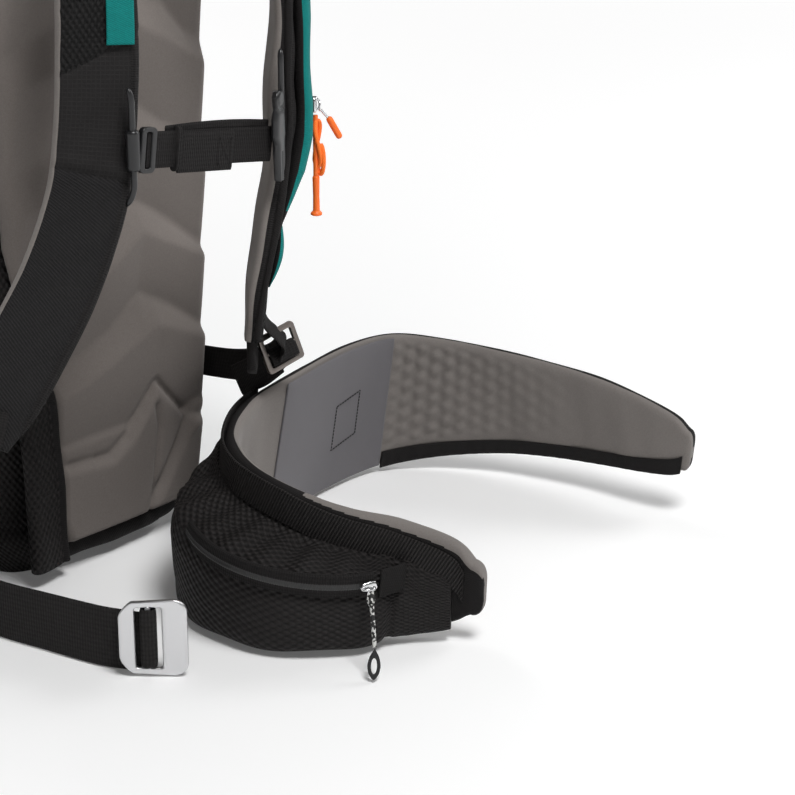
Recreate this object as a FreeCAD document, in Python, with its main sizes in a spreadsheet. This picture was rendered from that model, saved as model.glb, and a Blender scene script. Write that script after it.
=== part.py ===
import FreeCAD
import Part
import Sketcher
import math
import os

V = FreeCAD.Vector
UP = V(0, 0, 1)

os.makedirs("parts", exist_ok=True)
doc = FreeCAD.newDocument("airbag_backpack")

# --------------------------------------------------------------------------
# Driving dimensions, millimetres and degrees
# --------------------------------------------------------------------------
# +Z is up, +X is the wearer's left, and the wearer stands on the -Y side.
# The origin is on the ground, under the middle of the back panel.
DIMENSIONS = {
    "fabric_wall": 2.5,
    "base_height": 40, "lid_height": 505, "pack_height": 598,
    "side_seam_front": 22, "side_seam_back": 150,
    "back_pad_thick": 16, "back_pad_hem": 14,
    "sheet_wide": 150, "sheet_tall": 430, "sheet_thick": 1.5,
    "stay_wide": 12, "stay_tall": 420, "stay_thick": 3, "stay_gap": 60,
    "pad_thick": 12, "lining_thick": 2, "strap_wide": 56,
    "garage_wide": 46, "garage_deep": 13, "garage_wall": 1.5,
    "web_thick": 1.6, "sternum_web_wide": 25, "harness_web_wide": 25, "hip_web_wide": 45,
    "lock_wide": 34, "lock_long": 30, "lock_thick": 3, "lock_slot_wide": 27, "lock_slot_long": 6,
    "plate_thick": 3, "plate_slot_long": 7, "plate_slot_wide": 47,
    "belt_core": 10, "belt_cover": 1.5, "belt_band_wide": 26, "belt_band_thick": 1.5,
    "rail_radius": 2.2, "rail_long": 96, "clip_radius": 4.6, "clip_long": 26,
    "grip_radius": 4.5, "grip_long": 56, "cable_radius": 1.5,
    "cartridge_radius": 26, "cartridge_long": 190, "cartridge_neck_radius": 9, "cartridge_neck": 16,
    "cartridge_wall": 2.5,
    "inflator_radius": 24, "inflator_long": 62, "pin_radius": 3, "pin_long": 34,
    "slider_long": 12, "slider_wide": 8, "slider_thick": 4,
    "pocket_wall": 2, "loop_gap": 5, "loop_gap_long": 10,
    "small_round": 1,
}

sheet = doc.addObject("Spreadsheet::Sheet", "dims")
for row, (alias, number) in enumerate(DIMENSIONS.items(), start=1):
    sheet.set(f"A{row}", alias)
    sheet.set(f"B{row}", str(number))
    sheet.setAlias(f"B{row}", alias)
doc.recompute()

NODES = []


def size(alias):
    """The value of one cell of the sheet."""
    return float(sheet.get(alias))


def keep(feature, label):
    """Names a finished sub-part and puts it on the list of nodes."""
    feature.Label = label
    NODES.append(feature)
    return feature


# --------------------------------------------------------------------------
# Ways of making a solid
# --------------------------------------------------------------------------
def direct_node(label, shape):
    """A sub-part whose shape is sewn cloth, foam or webbing, made with Part's own functions."""
    feature = doc.addObject("Part::Feature", label)
    feature.Shape = shape
    return keep(feature, label)


def group_node(label, pieces):
    """Several like pieces kept as one sub-part of separate solids."""
    for piece in pieces:
        NODES.remove(piece)
    group = doc.addObject("Part::Compound", label)
    group.Links = pieces
    return keep(group, label)


def bound(feature, **properties):
    """Binds properties of a feature to cells of the sheet."""
    for name, alias in properties.items():
        feature.setExpression(name, f"dims.{alias}")
    return feature


def placed(position, x_axis=V(1, 0, 0), z_axis=UP):
    """A placement whose local X and Z lie along the two given axes."""
    z_axis = V(z_axis).normalize()
    x_axis = (x_axis - z_axis * x_axis.dot(z_axis)).normalize()
    y_axis = z_axis.cross(x_axis)
    return FreeCAD.Placement(position, FreeCAD.Rotation(x_axis, y_axis, z_axis, "ZXY"))


def rod(label, radius, length, start, direction=UP):
    """A round bar from start along direction, bound to the sheet."""
    feature = doc.addObject("Part::Cylinder", label)
    bound(feature, Radius=radius, Height=length)
    feature.Placement = placed(start, perpendicular(direction), direction)
    return feature


def perpendicular(direction):
    """Some unit vector square to the direction."""
    other = V(1, 0, 0) if abs(direction.x) < 0.9 * direction.Length else V(0, 1, 0)
    return direction.cross(other).normalize()


def add_rectangle(sketch, centre, width, height):
    """A rectangle about a centre, its two sides bound to cells of the sheet."""
    half_x = size(width) / 2
    half_y = size(height) / 2
    corners = [V(centre[0] + sx * half_x, centre[1] + sy * half_y, 0)
               for sx, sy in ((-1, -1), (1, -1), (1, 1), (-1, 1))]
    first = sketch.GeometryCount
    for i in range(4):
        sketch.addGeometry(Part.LineSegment(corners[i], corners[(i + 1) % 4]), False)
    for i in range(4):
        sketch.addConstraint(Sketcher.Constraint("Coincident", first + i, 2, first + (i + 1) % 4, 1))
    for i in (0, 2):
        sketch.addConstraint(Sketcher.Constraint("Horizontal", first + i))
        sketch.addConstraint(Sketcher.Constraint("Vertical", first + i + 1))
    spans = (("DistanceX", first, 1, first, 2, 2 * half_x, f"dims.{width}"),
             ("DistanceY", first + 1, 1, first + 1, 2, 2 * half_y, f"dims.{height}"),
             ("DistanceX", -1, 1, first + 1, 1, corners[1].x, f"{centre[0]} + dims.{width} / 2"),
             ("DistanceY", -1, 1, first + 2, 1, corners[2].y, f"{centre[1]} + dims.{height} / 2"))
    for kind, a, pa, b, pb, value, expression in spans:
        index = sketch.addConstraint(Sketcher.Constraint(kind, a, pa, b, pb, value))
        sketch.setExpression(f"Constraints[{index}]", expression)


def add_polygon(sketch, points):
    """A closed outline through the points, held by block constraints."""
    corners = [V(x, y, 0) for x, y in points]
    for i in range(len(corners)):
        sketch.addGeometry(Part.LineSegment(corners[i], corners[(i + 1) % len(corners)]), False)
    for i in range(len(corners)):
        sketch.addConstraint(Sketcher.Constraint("Block", i))


def plane_sketch(body, name):
    """A sketch on the body's own XY plane."""
    sketch = body.newObject("Sketcher::SketchObject", name)
    for plane in body.Origin.OriginFeatures:
        if plane.Role == "XY_Plane":
            sketch.AttachmentSupport = (plane, [""])
    sketch.MapMode = "FlatFace"
    return sketch


def plate(label, draw_outline, thickness, placement, windows=(), corner_round=None):
    """A flat plate padded from a sketch, with slots cut through and its corners rounded."""
    body = doc.addObject("PartDesign::Body", label)
    outline = plane_sketch(body, f"{label}_outline")
    draw_outline(outline)
    pad = body.newObject("PartDesign::Pad", f"{label}_pad")
    pad.Profile = outline
    pad.Midplane = True
    bound(pad, Length=thickness)
    doc.recompute()
    if corner_round:
        upright = [f"Edge{i + 1}" for i, edge in enumerate(pad.Shape.Edges)
                   if abs(edge.tangentAt(edge.FirstParameter).z) > 0.99]
        fillet = body.newObject("PartDesign::Fillet", f"{label}_corners")
        fillet.Base = (pad, upright)
        bound(fillet, Radius=corner_round)
        doc.recompute()
    if windows:
        cut = plane_sketch(body, f"{label}_windows")
        for centre, width, height in windows:
            add_rectangle(cut, centre, width, height)
        pocket = body.newObject("PartDesign::Pocket", f"{label}_slots")
        pocket.Profile = cut
        pocket.Midplane = True
        pocket.Type = 1
        doc.recompute()
    body.Placement = placement
    return keep(body, label)


def section_wire(points):
    """A closed wire of straight edges."""
    return Part.makePolygon(list(points) + [points[0]])


def skin(sections, ruled=True):
    """A closed solid through a row of sections."""
    solid = Part.makeLoft([section_wire(points) for points in sections], True, ruled)
    return solid if solid.Volume > 0 else solid.reversed()


def band_sections(stations, width, low, high):
    """Rectangular sections across a band.

    Each station is (point, side, face): side runs across the band's width and face is its
    outward normal. The section spans half the width each way and low to high along the face.
    """
    rows = []
    for point, side, face in stations:
        rows.append([point - side * width / 2 + face * low, point + side * width / 2 + face * low,
                     point + side * width / 2 + face * high, point - side * width / 2 + face * high])
    return rows


def stations_along(points, sides):
    """Turns points and rough side vectors into true stations, square to the path."""
    result = []
    for i, point in enumerate(points):
        along = points[min(i + 1, len(points) - 1)] - points[max(i - 1, 0)]
        along.normalize()
        side = sides[i] - along * sides[i].dot(along)
        side.normalize()
        result.append((point, side, along.cross(side).normalize()))
    return result


def webbing(points, sides, width):
    """Flat webbing of one width along a path."""
    half = size("web_thick") / 2
    return skin(band_sections(stations_along(points, sides), width, -half, half))


def heading(yaw_degrees):
    """A level unit vector at an angle from +X."""
    yaw = math.radians(yaw_degrees)
    return V(math.cos(yaw), math.sin(yaw), 0)


# --------------------------------------------------------------------------
# Pack bag: sewn panels round the main compartment
# --------------------------------------------------------------------------
# height, half width at the wearer's side, in the middle and outside, depth near and far
BAG_SECTIONS = (
    (0, 78, 98, 78, 12, 172), (30, 86, 120, 100, 2, 194), (120, 94, 134, 118, -2, 206),
    (250, 99, 140, 124, -4, 208), (400, 101, 140, 122, -3, 198), (500, 98, 134, 112, 2, 180),
    (565, 84, 112, 92, 14, 156), (598, 54, 74, 56, 38, 122))


def bag_solid(inset):
    """The outside of the filled bag, or a surface at an inset inside it."""
    wires = []
    for z, near, middle, far, y_near, y_far in BAG_SECTIONS:
        level = min(max(z, inset), size("pack_height") - inset)
        mid = (y_near + y_far) / 2
        depth = y_far - y_near
        right = [(near - inset, y_near + 0.03 * depth + inset), (middle - 4 - inset, mid - 0.2 * depth),
                 (middle - inset, mid + 0.05 * depth), (far - inset, y_far - 0.06 * depth - inset)]
        outline = [(0, y_near + inset)] + right + [(0, y_far - inset)]
        outline += [(-x, y) for x, y in reversed(right)]
        curve = Part.BSplineCurve()
        curve.interpolate([V(x, y, level) for x, y in outline], PeriodicFlag=True)
        wires.append(Part.Wire([curve.toShape()]))
    solid = Part.makeLoft(wires, True, False)
    return solid if solid.Volume > 0 else solid.reversed()


def slab(x0, x1, y0, y1, z0, z1):
    """A block between two corners."""
    return Part.makeBox(x1 - x0, y1 - y0, z1 - z0, V(x0, y0, z0))


bag_outside = bag_solid(0)
bag_inside = bag_solid(size("fabric_wall"))
bag_wall = bag_outside.cut(bag_inside)
REACH = 400
low_seam = size("base_height")
high_seam = size("lid_height")
near_seam = size("side_seam_front")
far_seam = size("side_seam_back")
PANELS = {
    "base_panel": slab(-REACH, REACH, -REACH, REACH, -1, low_seam),
    "airbag_lid": slab(-REACH, REACH, -REACH, REACH, high_seam, REACH + 300),
    "back_wall": slab(-REACH, REACH, -REACH, near_seam, low_seam, high_seam),
    "front_panel": slab(-REACH, REACH, far_seam, REACH, low_seam, high_seam),
    "side_panel_left": slab(0, REACH, near_seam, far_seam, low_seam, high_seam),
    "side_panel_right": slab(-REACH, 0, near_seam, far_seam, low_seam, high_seam),
}
for panel, region in PANELS.items():
    direct_node(panel, bag_wall.common(region))


def seated(shape):
    """Trims a piece that is sewn to the bag so that it lies on the bag's outside."""
    return shape.cut(bag_outside)


# --------------------------------------------------------------------------
# Back panel: moulded foam on a stiffening sheet with two stays
# --------------------------------------------------------------------------
BACK_PAD_EDGE = ((26, 56), (44, 82), (100, 91), (160, 91), (214, 93), (292, 97), (413, 100),
                 (480, 98), (497, 82))


def back_pad_row(z, half, front):
    """One level section of the moulded back pad, fuller in the middle than at its edges."""
    return [V(-half, -5, z), V(-half, -10, z), V(-half * 0.72, front + 3, z), V(-half * 0.3, front, z),
            V(half * 0.3, front, z), V(half * 0.72, front + 3, z), V(half, -10, z), V(half, -5, z),
            V(half * 0.5, 20, z), V(-half * 0.5, 20, z)]


pad_front = -6 - size("back_pad_thick")
pad_rows = [back_pad_row(z, half, pad_front + (6 if z in (26, 497) else 0)) for z, half in BACK_PAD_EDGE]
direct_node("back_pad", seated(skin(pad_rows)))
hem_top = BACK_PAD_EDGE[0][0]
hem_rows = [back_pad_row(hem_top - size("back_pad_hem"), 50, -14), back_pad_row(hem_top, 56, -15)]
direct_node("back_pad_hem", seated(skin(hem_rows)))

FRAME_DEPTH = 14
sheet_base = 62
plate("frame_sheet", lambda s: add_rectangle(s, (0, 0), "sheet_wide", "sheet_tall"), "sheet_thick",
      placed(V(0, FRAME_DEPTH, sheet_base + size("sheet_tall") / 2), V(1, 0, 0), V(0, -1, 0)),
      corner_round="belt_core")
stays = []
for side, name in ((1, "left"), (-1, "right")):
    stay_y = FRAME_DEPTH + size("sheet_thick") / 2 + size("stay_thick") / 2
    stay_place = placed(V(side * size("stay_gap") / 2, stay_y, sheet_base + size("sheet_tall") / 2),
                        V(1, 0, 0), V(0, -1, 0))
    stays.append(plate(f"stay_{name}", lambda s: add_rectangle(s, (0, 0), "stay_wide", "stay_tall"),
                       "stay_thick", stay_place, corner_round="lock_thick"))
group_node("frame_stays", stays)

# --------------------------------------------------------------------------
# Airbag system inside the pack
# --------------------------------------------------------------------------
GAS = V(-62, 100, 0)
inflator_base = 384
inflator_bore = size("cartridge_neck_radius") + 0.3
inflator = rod("inflator_shell", "inflator_radius", "inflator_long", GAS + UP * inflator_base)
socket = rod("inflator_socket", "cartridge_neck_radius", "cartridge_neck", GAS + UP * (inflator_base - 0.01))
socket.setExpression("Radius", "dims.cartridge_neck_radius + 0.3")
socket.setExpression("Height", "dims.cartridge_neck + 1")
pin_start = GAS + V(size("inflator_radius") - 14, 0, inflator_base + 44)
pin_bore = rod("pin_bore", "pin_radius", "pin_long", pin_start, V(1, 0, 0))
pin_bore.setExpression("Radius", "dims.pin_radius + 0.3")
bores = doc.addObject("Part::Fuse", "inflator_bores")
bores.Base = socket
bores.Tool = pin_bore
inflator_cut = doc.addObject("Part::Cut", "inflator_cut")
inflator_cut.Base = inflator
inflator_cut.Tool = bores
keep(inflator_cut, "inflator")

neck_reach = size("cartridge_neck")
radius = size("cartridge_radius")
cartridge = doc.addObject("PartDesign::Body", "cartridge_body")
profile = cartridge.newObject("Sketcher::SketchObject", "cartridge_profile")
for plane in cartridge.Origin.OriginFeatures:
    if plane.Role == "XZ_Plane":
        profile.AttachmentSupport = (plane, [""])
profile.MapMode = "FlatFace"
neck = size("cartridge_neck_radius")
length = size("cartridge_long")
steel = size("cartridge_wall")
add_polygon(profile, (
    (0, 0), (radius * 0.6, 0), (radius, 10), (radius, length - 26), (radius * 0.8, length - 10),
    (neck, length), (neck, length + neck_reach), (0, length + neck_reach),
    (0, length - 14), (radius * 0.8 - steel, length - 14), (radius - steel, length - 28),
    (radius - steel, 11), (radius * 0.6 - steel / 2, steel), (0, steel)))
turned = cartridge.newObject("PartDesign::Revolution", "cartridge_turned")
turned.Profile = profile
turned.ReferenceAxis = (profile, ["V_Axis"])
turned.Angle = 360
doc.recompute()
cartridge.Placement = FreeCAD.Placement(GAS + UP * (inflator_base - length), FreeCAD.Rotation())
keep(cartridge, "cartridge")
pin = rod("release_pin_rod", "pin_radius", "pin_long", pin_start + V(3, 0, 0), V(1, 0, 0))
keep(pin, "release_pin")

bag_low = 462
folded = slab(-88, 88, 52, 150, bag_low, 548)
folded = folded.makeFillet(14, folded.Edges)
direct_node("folded_airbag", folded)
neck_start = GAS + UP * (inflator_base + size("inflator_long"))
direct_node("airbag_neck", Part.makeCylinder(15, bag_low - neck_start.z, neck_start))

# --------------------------------------------------------------------------
# Outside of the bag: tool pocket, zips, straps, loops
# --------------------------------------------------------------------------
POCKET_ROWS = ((62, 84, 208), (90, 96, 232), (250, 100, 238), (400, 98, 230), (452, 84, 204))


def tool_pocket(inset):
    """The tool compartment's outside, or the surface at an inset inside it."""
    rows = []
    for z, half, y_far in POCKET_ROWS:
        level = min(max(z, POCKET_ROWS[0][0] + inset), POCKET_ROWS[-1][0] - inset)
        side, back = half - inset, y_far - inset
        rows.append([V(-side, 120, level), V(side, 120, level), V(side, back - 20, level),
                     V(side - 22, back, level), V(22 - side, back, level), V(-side, back - 20, level)])
    return skin(rows)


tool_outside = tool_pocket(0)
direct_node("tool_pocket", seated(tool_outside.cut(tool_pocket(size("fabric_wall")))))


def zip_track(label, start, end, half_width, face, depth):
    """A straight zip: tape with its coil, lying on the bag along one face direction."""
    across = (end - start).cross(face).normalize()
    rows = []
    for point in (start, end):
        rows.append([point - across * half_width - face * depth, point + across * half_width - face * depth,
                     point + across * half_width, point - across * half_width])
    return direct_node(label, seated(skin(rows)).cut(tool_outside))


def zip_slider(label, position, along, face):
    """A zip slider: a small rounded block that rides on the coil."""
    centre = position + face * (size("slider_thick") / 2 + 0.4)
    return plate(label, lambda s: add_rectangle(s, (0, 0), "slider_long", "slider_wide"), "slider_thick",
                 placed(centre, along, face), corner_round="small_round")


SIDE_ZIP_X = 142.5
zip_track("main_zip", V(-SIDE_ZIP_X, 118, 210), V(-SIDE_ZIP_X, 118, 450), 7, V(-1, 0, 0), 14)
zip_slider("main_zip_slider", V(-SIDE_ZIP_X, 118, 430), UP, V(-1, 0, 0))
TOOL_ZIP_Y = 238.5
direct_node("tool_zip", slab(-7, 7, 233, TOOL_ZIP_Y, 110, 400).cut(tool_outside))
zip_slider("tool_zip_slider", V(0, TOOL_ZIP_Y, 385), UP, V(0, 1, 0))


def sewn_band(label, proud, region):
    """Webbing or tape sewn flat to the bag: a skin of its own thickness, trimmed to a region."""
    return direct_node(label, bag_solid(-proud).cut(bag_outside).common(region))


sewn_band("burst_zip", 2.5, slab(-REACH, REACH, 60, REACH, 511, 523))
STRAP_RISE = 20
for z, level in ((94, "low"), (462, "high")):
    sides = [sewn_band(f"compression_strap_{level}_{name}", size("web_thick"),
                       slab(x0, x1, 30, 190, z, z + STRAP_RISE))
             for name, x0, x1 in (("left", 60, REACH), ("right", -REACH, -60))]
    group_node(f"compression_straps_{level}", sides)

# Ice-axe loops low on the outside, and the haul loop at the top of the back panel
LOOP_RADIUS = 14
loops = []
for x, name in ((52, "left"), (-68, "right")):
    loop_start = V(x, 200, 46)
    loop = Part.makeCylinder(LOOP_RADIUS, 16, loop_start, V(1, 0, 0))
    loop = loop.cut(Part.makeCylinder(LOOP_RADIUS - size("web_thick"), 16, loop_start, V(1, 0, 0)))
    loops.append(direct_node(f"axe_loop_{name}", seated(loop)))
group_node("axe_loops", loops)

HAUL_FOOT = V(0, -11, 560)
haul_half = 34
haul_bend = ((-haul_half, 0, 0), (-haul_half, -6, 26), (-20, -9, 38),
             (20, -9, 38), (haul_half, -6, 26), (haul_half, 0, 0))
haul_path = [HAUL_FOOT + V(*step) for step in haul_bend]
haul_sides = [V(0, 1, 0.2)] * len(haul_path)
direct_node("haul_loop", skin(band_sections(stations_along(haul_path, haul_sides), 20, -1.5, 1.5)))

# --------------------------------------------------------------------------
# Shoulder harness
# --------------------------------------------------------------------------
# Each strap: points down the middle of the foam, the level heading of its width, and its width
LEFT_STRAP = (
    (48, -30, 503, 0, 50), (56, -50, 524, 4, 52), (70, -78, 519, 14, 54), (84, -95, 490, 32, 56),
    (90, -100, 450, 44, 56), (92, -100, 412, 48, 56), (92, -100, 372, 48, 56), (92, -100, 334, 48, 56),
    (82, -100, 294, 48, 56), (69, -100, 250, 48, 56), (60, -100, 210, 46, 50), (56, -100, 176, 44, 34))
RIGHT_STRAP = (
    (-48, -30, 503, 180, 50), (-56, -50, 524, 178, 52), (-68, -78, 519, 172, 54), (-80, -95, 490, 162, 56),
    (-86, -100, 450, 155, 55), (-87, -100, 412, 151, 56), (-92, -100, 360, 150, 56),
    (-103, -100, 312, 150, 56), (-130, -100, 262, 150, 56), (-164, -100, 221, 150, 56),
    (-188, -100, 193, 150, 52), (-204, -100, 170, 150, 36))


def strap_stations(rows):
    """Stations of one shoulder strap with the width at each."""
    points = [V(x, y, z) for x, y, z, yaw, width in rows]
    sides = [heading(row[3]) for row in rows]
    return stations_along(points, sides), [row[4] for row in rows]


def strap_layer(rows, low, high, trim=0, first=0, last=None):
    """One layer of a shoulder strap, between two heights over the foam's middle.

    Heights are positive on the side away from the wearer.
    """
    stations, widths = strap_stations(rows)
    sections = []
    for (point, side, face), width in list(zip(stations, widths))[first:last]:
        outward = face if face.y < 0 or face.z > 0.5 else -face
        sections.extend(band_sections([(point, side, outward)], width - trim, low, high))
    return skin(sections)


half_pad = size("pad_thick") / 2
lining = size("lining_thick")
linings = []
for name, rows in (("left", LEFT_STRAP), ("right", RIGHT_STRAP)):
    direct_node(f"strap_pad_{name}", strap_layer(rows, -half_pad, half_pad))
    linings.append(direct_node(f"strap_lining_{name}",
                               strap_layer(rows, -half_pad - lining, -half_pad, trim=-3)))
group_node("strap_linings", linings)

# The trigger garage is a stiff sleeve on the left strap, with the grip inside
GARAGE = (3, 11)
HOLLOW = (4, 8)
garage_low = half_pad
garage_high = half_pad + size("garage_deep")
wall = size("garage_wall")
garage = strap_layer(LEFT_STRAP, garage_low, garage_high, size("strap_wide") - size("garage_wide"), *GARAGE)
hollow_rows = []
for point, side, face in strap_stations(LEFT_STRAP)[0][HOLLOW[0]:HOLLOW[1]]:
    hollow_rows.append((point, side, face if face.y < 0 else -face))
hollow_wide = size("garage_wide") - 2 * wall
hollow = skin(band_sections(hollow_rows, hollow_wide, garage_low + wall, garage_high - wall))
direct_node("trigger_garage", garage.cut(hollow))

garage_face = V(math.sin(math.radians(48)), -math.cos(math.radians(48)), 0)
grip_centre = V(92, -100, 0) + garage_face * (garage_low + size("garage_deep") / 2)
grip_bottom = 352
keep(rod("trigger_grip", "grip_radius", "grip_long", grip_centre + UP * grip_bottom), "trigger_grip")
grip_top = grip_bottom + size("grip_long")
cable = Part.makeCylinder(size("cable_radius"), 18, grip_centre + UP * grip_top)
direct_node("trigger_cable", cable)

garage_zip = V(92, -100, 0) + garage_face * garage_high
garage_side = heading(48)
zip_x = garage_side * 6
tape_rows = []
for z in (336, 410):
    centre = garage_zip + zip_x + UP * z
    one, other = centre - garage_side * 5, centre + garage_side * 5
    tape_rows.append([one, other, other + garage_face * 1.2, one + garage_face * 1.2])
direct_node("garage_zip", skin(tape_rows))
SLIDER_REST = 342
garage_slider_seat = garage_zip + zip_x + garage_face * 1.2
zip_slider("garage_slider", garage_slider_seat + UP * SLIDER_REST, UP, garage_face)
pull_line = garage_slider_seat + garage_face * 2.8
cord_top = SLIDER_REST - size("slider_long") / 2 - 2
cord_low = cord_top - 46
toggle_low = cord_low - 30
direct_node("garage_pull_cord", Part.makeCylinder(2, cord_top - cord_low, pull_line + UP * cord_low))
direct_node("garage_toggle", Part.makeCylinder(2.8, cord_low - toggle_low, pull_line + UP * toggle_low))

# Load lifters run from the top of each strap back to the lid
lifters = []
for sign, name in ((1, "left"), (-1, "right")):
    lifter_path = [V(sign * 62, y, z) for y, z in ((-58, 533), (-34, 543), (-6, 556), (16, 566))]
    lifter = webbing(lifter_path, [V(1, 0, 0)] * len(lifter_path), 20)
    lifters.append(direct_node(f"load_lifter_{name}", seated(lifter)))
group_node("load_lifters", lifters)


def ladder_lock(label, centre, along, face):
    """A tri-glide frame with two slots for webbing."""
    gap = size("lock_slot_long") / 2 + 2
    windows = [((x, 0), "lock_slot_long", "lock_slot_wide") for x in (gap, -gap)]
    return plate(label, lambda s: add_rectangle(s, (0, 0), "lock_long", "lock_wide"), "lock_thick",
                 placed(centre, along, face), windows, corner_round="small_round")


# Lower webbing from the bag's corner to a metal ladder lock at the foot of each strap
LEFT_LOCK = V(79, -104, 163)
RIGHT_LOCK = V(-222, -100, 143)
left_low = [V(104, 14, 122), V(103, -30, 127), V(97, -62, 136), V(88, -88, 148)]
right_low = [V(-112, 24, 112), V(-150, -20, 118), V(-190, -62, 124), V(-212, -86, 132)]
lower_strips = []
for name, path in (("left", left_low), ("right", right_low)):
    strip = webbing(path, [V(0, 0.1, 1)] * len(path), size("harness_web_wide"))
    lower_strips.append(direct_node(f"lower_webbing_{name}", seated(strip)))
group_node("lower_webbings", lower_strips)
ladder_lock("ladder_lock_left", LEFT_LOCK, V(0.25, 0, -1), V(-0.2, -0.95, 0.2))
ladder_lock("ladder_lock_right", RIGHT_LOCK, V(-0.5, 0, -1), V(-0.6, -0.8, 0.1))

# --------------------------------------------------------------------------
# Sternum strap, sliding on a rail along each shoulder strap
# --------------------------------------------------------------------------
RAIL_OUT = 25
RAIL_PROUD = half_pad + 6.4
right_edge = V(-96, -100, 0) - heading(150) * RAIL_OUT + heading(240) * RAIL_PROUD
left_edge = V(90, -100, 0) - heading(48) * (RAIL_OUT + 12) - heading(-42) * 4
rail_low = 300
right_rail = keep(rod("rail_right", "rail_radius", "rail_long", right_edge + UP * rail_low), "rail_right")
left_rail = keep(rod("rail_left", "rail_radius", "rail_long", left_edge + UP * rail_low), "rail_left")
group_node("sternum_rails", [right_rail, left_rail])


def rail_clip(label, axis_point, outer, long, middle):
    """A short round sleeve that slides on a rail."""
    tube = doc.addObject("Part::Cylinder", f"{label}_outside")
    bound(tube, Radius=outer, Height=long)
    bore = doc.addObject("Part::Cylinder", f"{label}_bore")
    bound(bore, Height=long)
    bore.setExpression("Radius", "dims.rail_radius + 0.3")
    for feature in (tube, bore):
        feature.Placement = FreeCAD.Placement(V(axis_point.x, axis_point.y, middle - size(long) / 2),
                                              FreeCAD.Rotation())
    sleeve = doc.addObject("Part::Cut", f"{label}_sleeve")
    sleeve.Base = tube
    sleeve.Tool = bore
    return keep(sleeve, label)


STERNUM_RIGHT_Z = 346
STERNUM_LEFT_Z = 325
clip_reach = size("clip_radius")
rail_clip("sternum_clip", right_edge, "clip_radius", "clip_long", STERNUM_RIGHT_Z)
across = (left_edge + UP * STERNUM_LEFT_Z) - (right_edge + UP * STERNUM_RIGHT_Z)
span = across.Length
across.normalize()
sternum_face = across.cross(UP)
sternum_up = (UP - across * UP.dot(across)).normalize()
start = right_edge + UP * STERNUM_RIGHT_Z + across * (clip_reach + 2.4)
plate("sternum_ladder", lambda s: add_rectangle(s, (0, 0), "slider_long", "clip_long"), "lock_thick",
      placed(start + across * (size("slider_long") / 2), across, sternum_face),
      corner_round="small_round")
web_from = start + across * size("slider_long")
web_to = left_edge + UP * STERNUM_LEFT_Z - across * (clip_reach + 12.2)
direct_node("sternum_webbing", webbing([web_from, web_from * 0.5 + web_to * 0.5, web_to],
                                       [UP] * 3, size("sternum_web_wide")))
keeper_half = 23
keeper_mid = web_from * 0.62 + web_to * 0.38
keeper_rows = [(keeper_mid + across * t, sternum_up, sternum_face) for t in (-keeper_half, keeper_half)]
keeper_wide = size("sternum_web_wide") + 3
keeper_solid = skin(band_sections(keeper_rows, keeper_wide, -2.8, 2.8))
keeper_gap = skin(band_sections([(keeper_mid + across * t, sternum_up, sternum_face) for t in (-30, 30)],
                                size("sternum_web_wide") + 0.2, -0.9, 0.9))
direct_node("sternum_keeper", keeper_solid.cut(keeper_gap))
hook_sleeve = rail_clip("hook_sleeve", left_edge, "clip_radius", "clip_long", STERNUM_LEFT_Z)
HOOK_OUTLINE = ((-10, -12), (0, -14), (0, 14), (-6, 20), (-12, 12))
hook_blade = plate("hook_blade", lambda s: add_polygon(s, HOOK_OUTLINE), "lock_thick",
                   placed(left_edge + UP * STERNUM_LEFT_Z - across * clip_reach, across, sternum_face),
                   corner_round="small_round")
group_node("sternum_hook", [hook_sleeve, hook_blade])

# --------------------------------------------------------------------------
# Hip webbing on the pack, with its two buckle halves
# --------------------------------------------------------------------------
hip_width = size("hip_web_wide")
hip_z = 0.5 + hip_width / 2
RIGHT_HIP = ((-104, 64), (-136, 34), (-158, -8), (-164, -52), (-157, -98), (-149, -140), (-146, -158))
right_points = [V(x, y, hip_z) for x, y in RIGHT_HIP]
right_hip = direct_node("hip_right", seated(webbing(right_points, [UP] * len(right_points), hip_width)))
plate_along = V(0.64, -0.77, 0)
plate_face = plate_along.cross(UP)
BUCKLE_PIVOT = V(-146, -168, 0)
PLATE_OUTLINE = ((-6, -20), (5, -28), (36, -28), (41, -22), (41, 22), (36, 28), (5, 28), (-6, 20))
plate("buckle_plate", lambda s: add_polygon(s, PLATE_OUTLINE), "plate_thick",
      placed(BUCKLE_PIVOT + UP * 28.5, plate_along, plate_face),
      windows=[((x, 0), "plate_slot_long", "plate_slot_wide") for x in (8, 21)],
      corner_round="lock_thick")

LEFT_HIP = ((104, 64), (132, 62), (150, 80), (152, 120), (150, 160))
left_points = [V(x, y, hip_z) for x, y in LEFT_HIP]
left_hip = direct_node("hip_left", seated(webbing(left_points, [UP] * len(left_points), hip_width)))
group_node("hip_webbings", [right_hip, left_hip])
HOOK_PLATE = ((-6, -24), (22, -24), (34, -12), (34, 12), (22, 24), (-6, 24))
HOOK_PIVOT = V(150, 168, 0)
plate("buckle_hook", lambda s: add_polygon(s, HOOK_PLATE), "plate_thick",
      placed(HOOK_PIVOT + UP * 26, V(0, 1, 0), V(1, 0, 0)),
      windows=(((2, 0), "plate_slot_long", "plate_slot_wide"),), corner_round="lock_thick")

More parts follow.
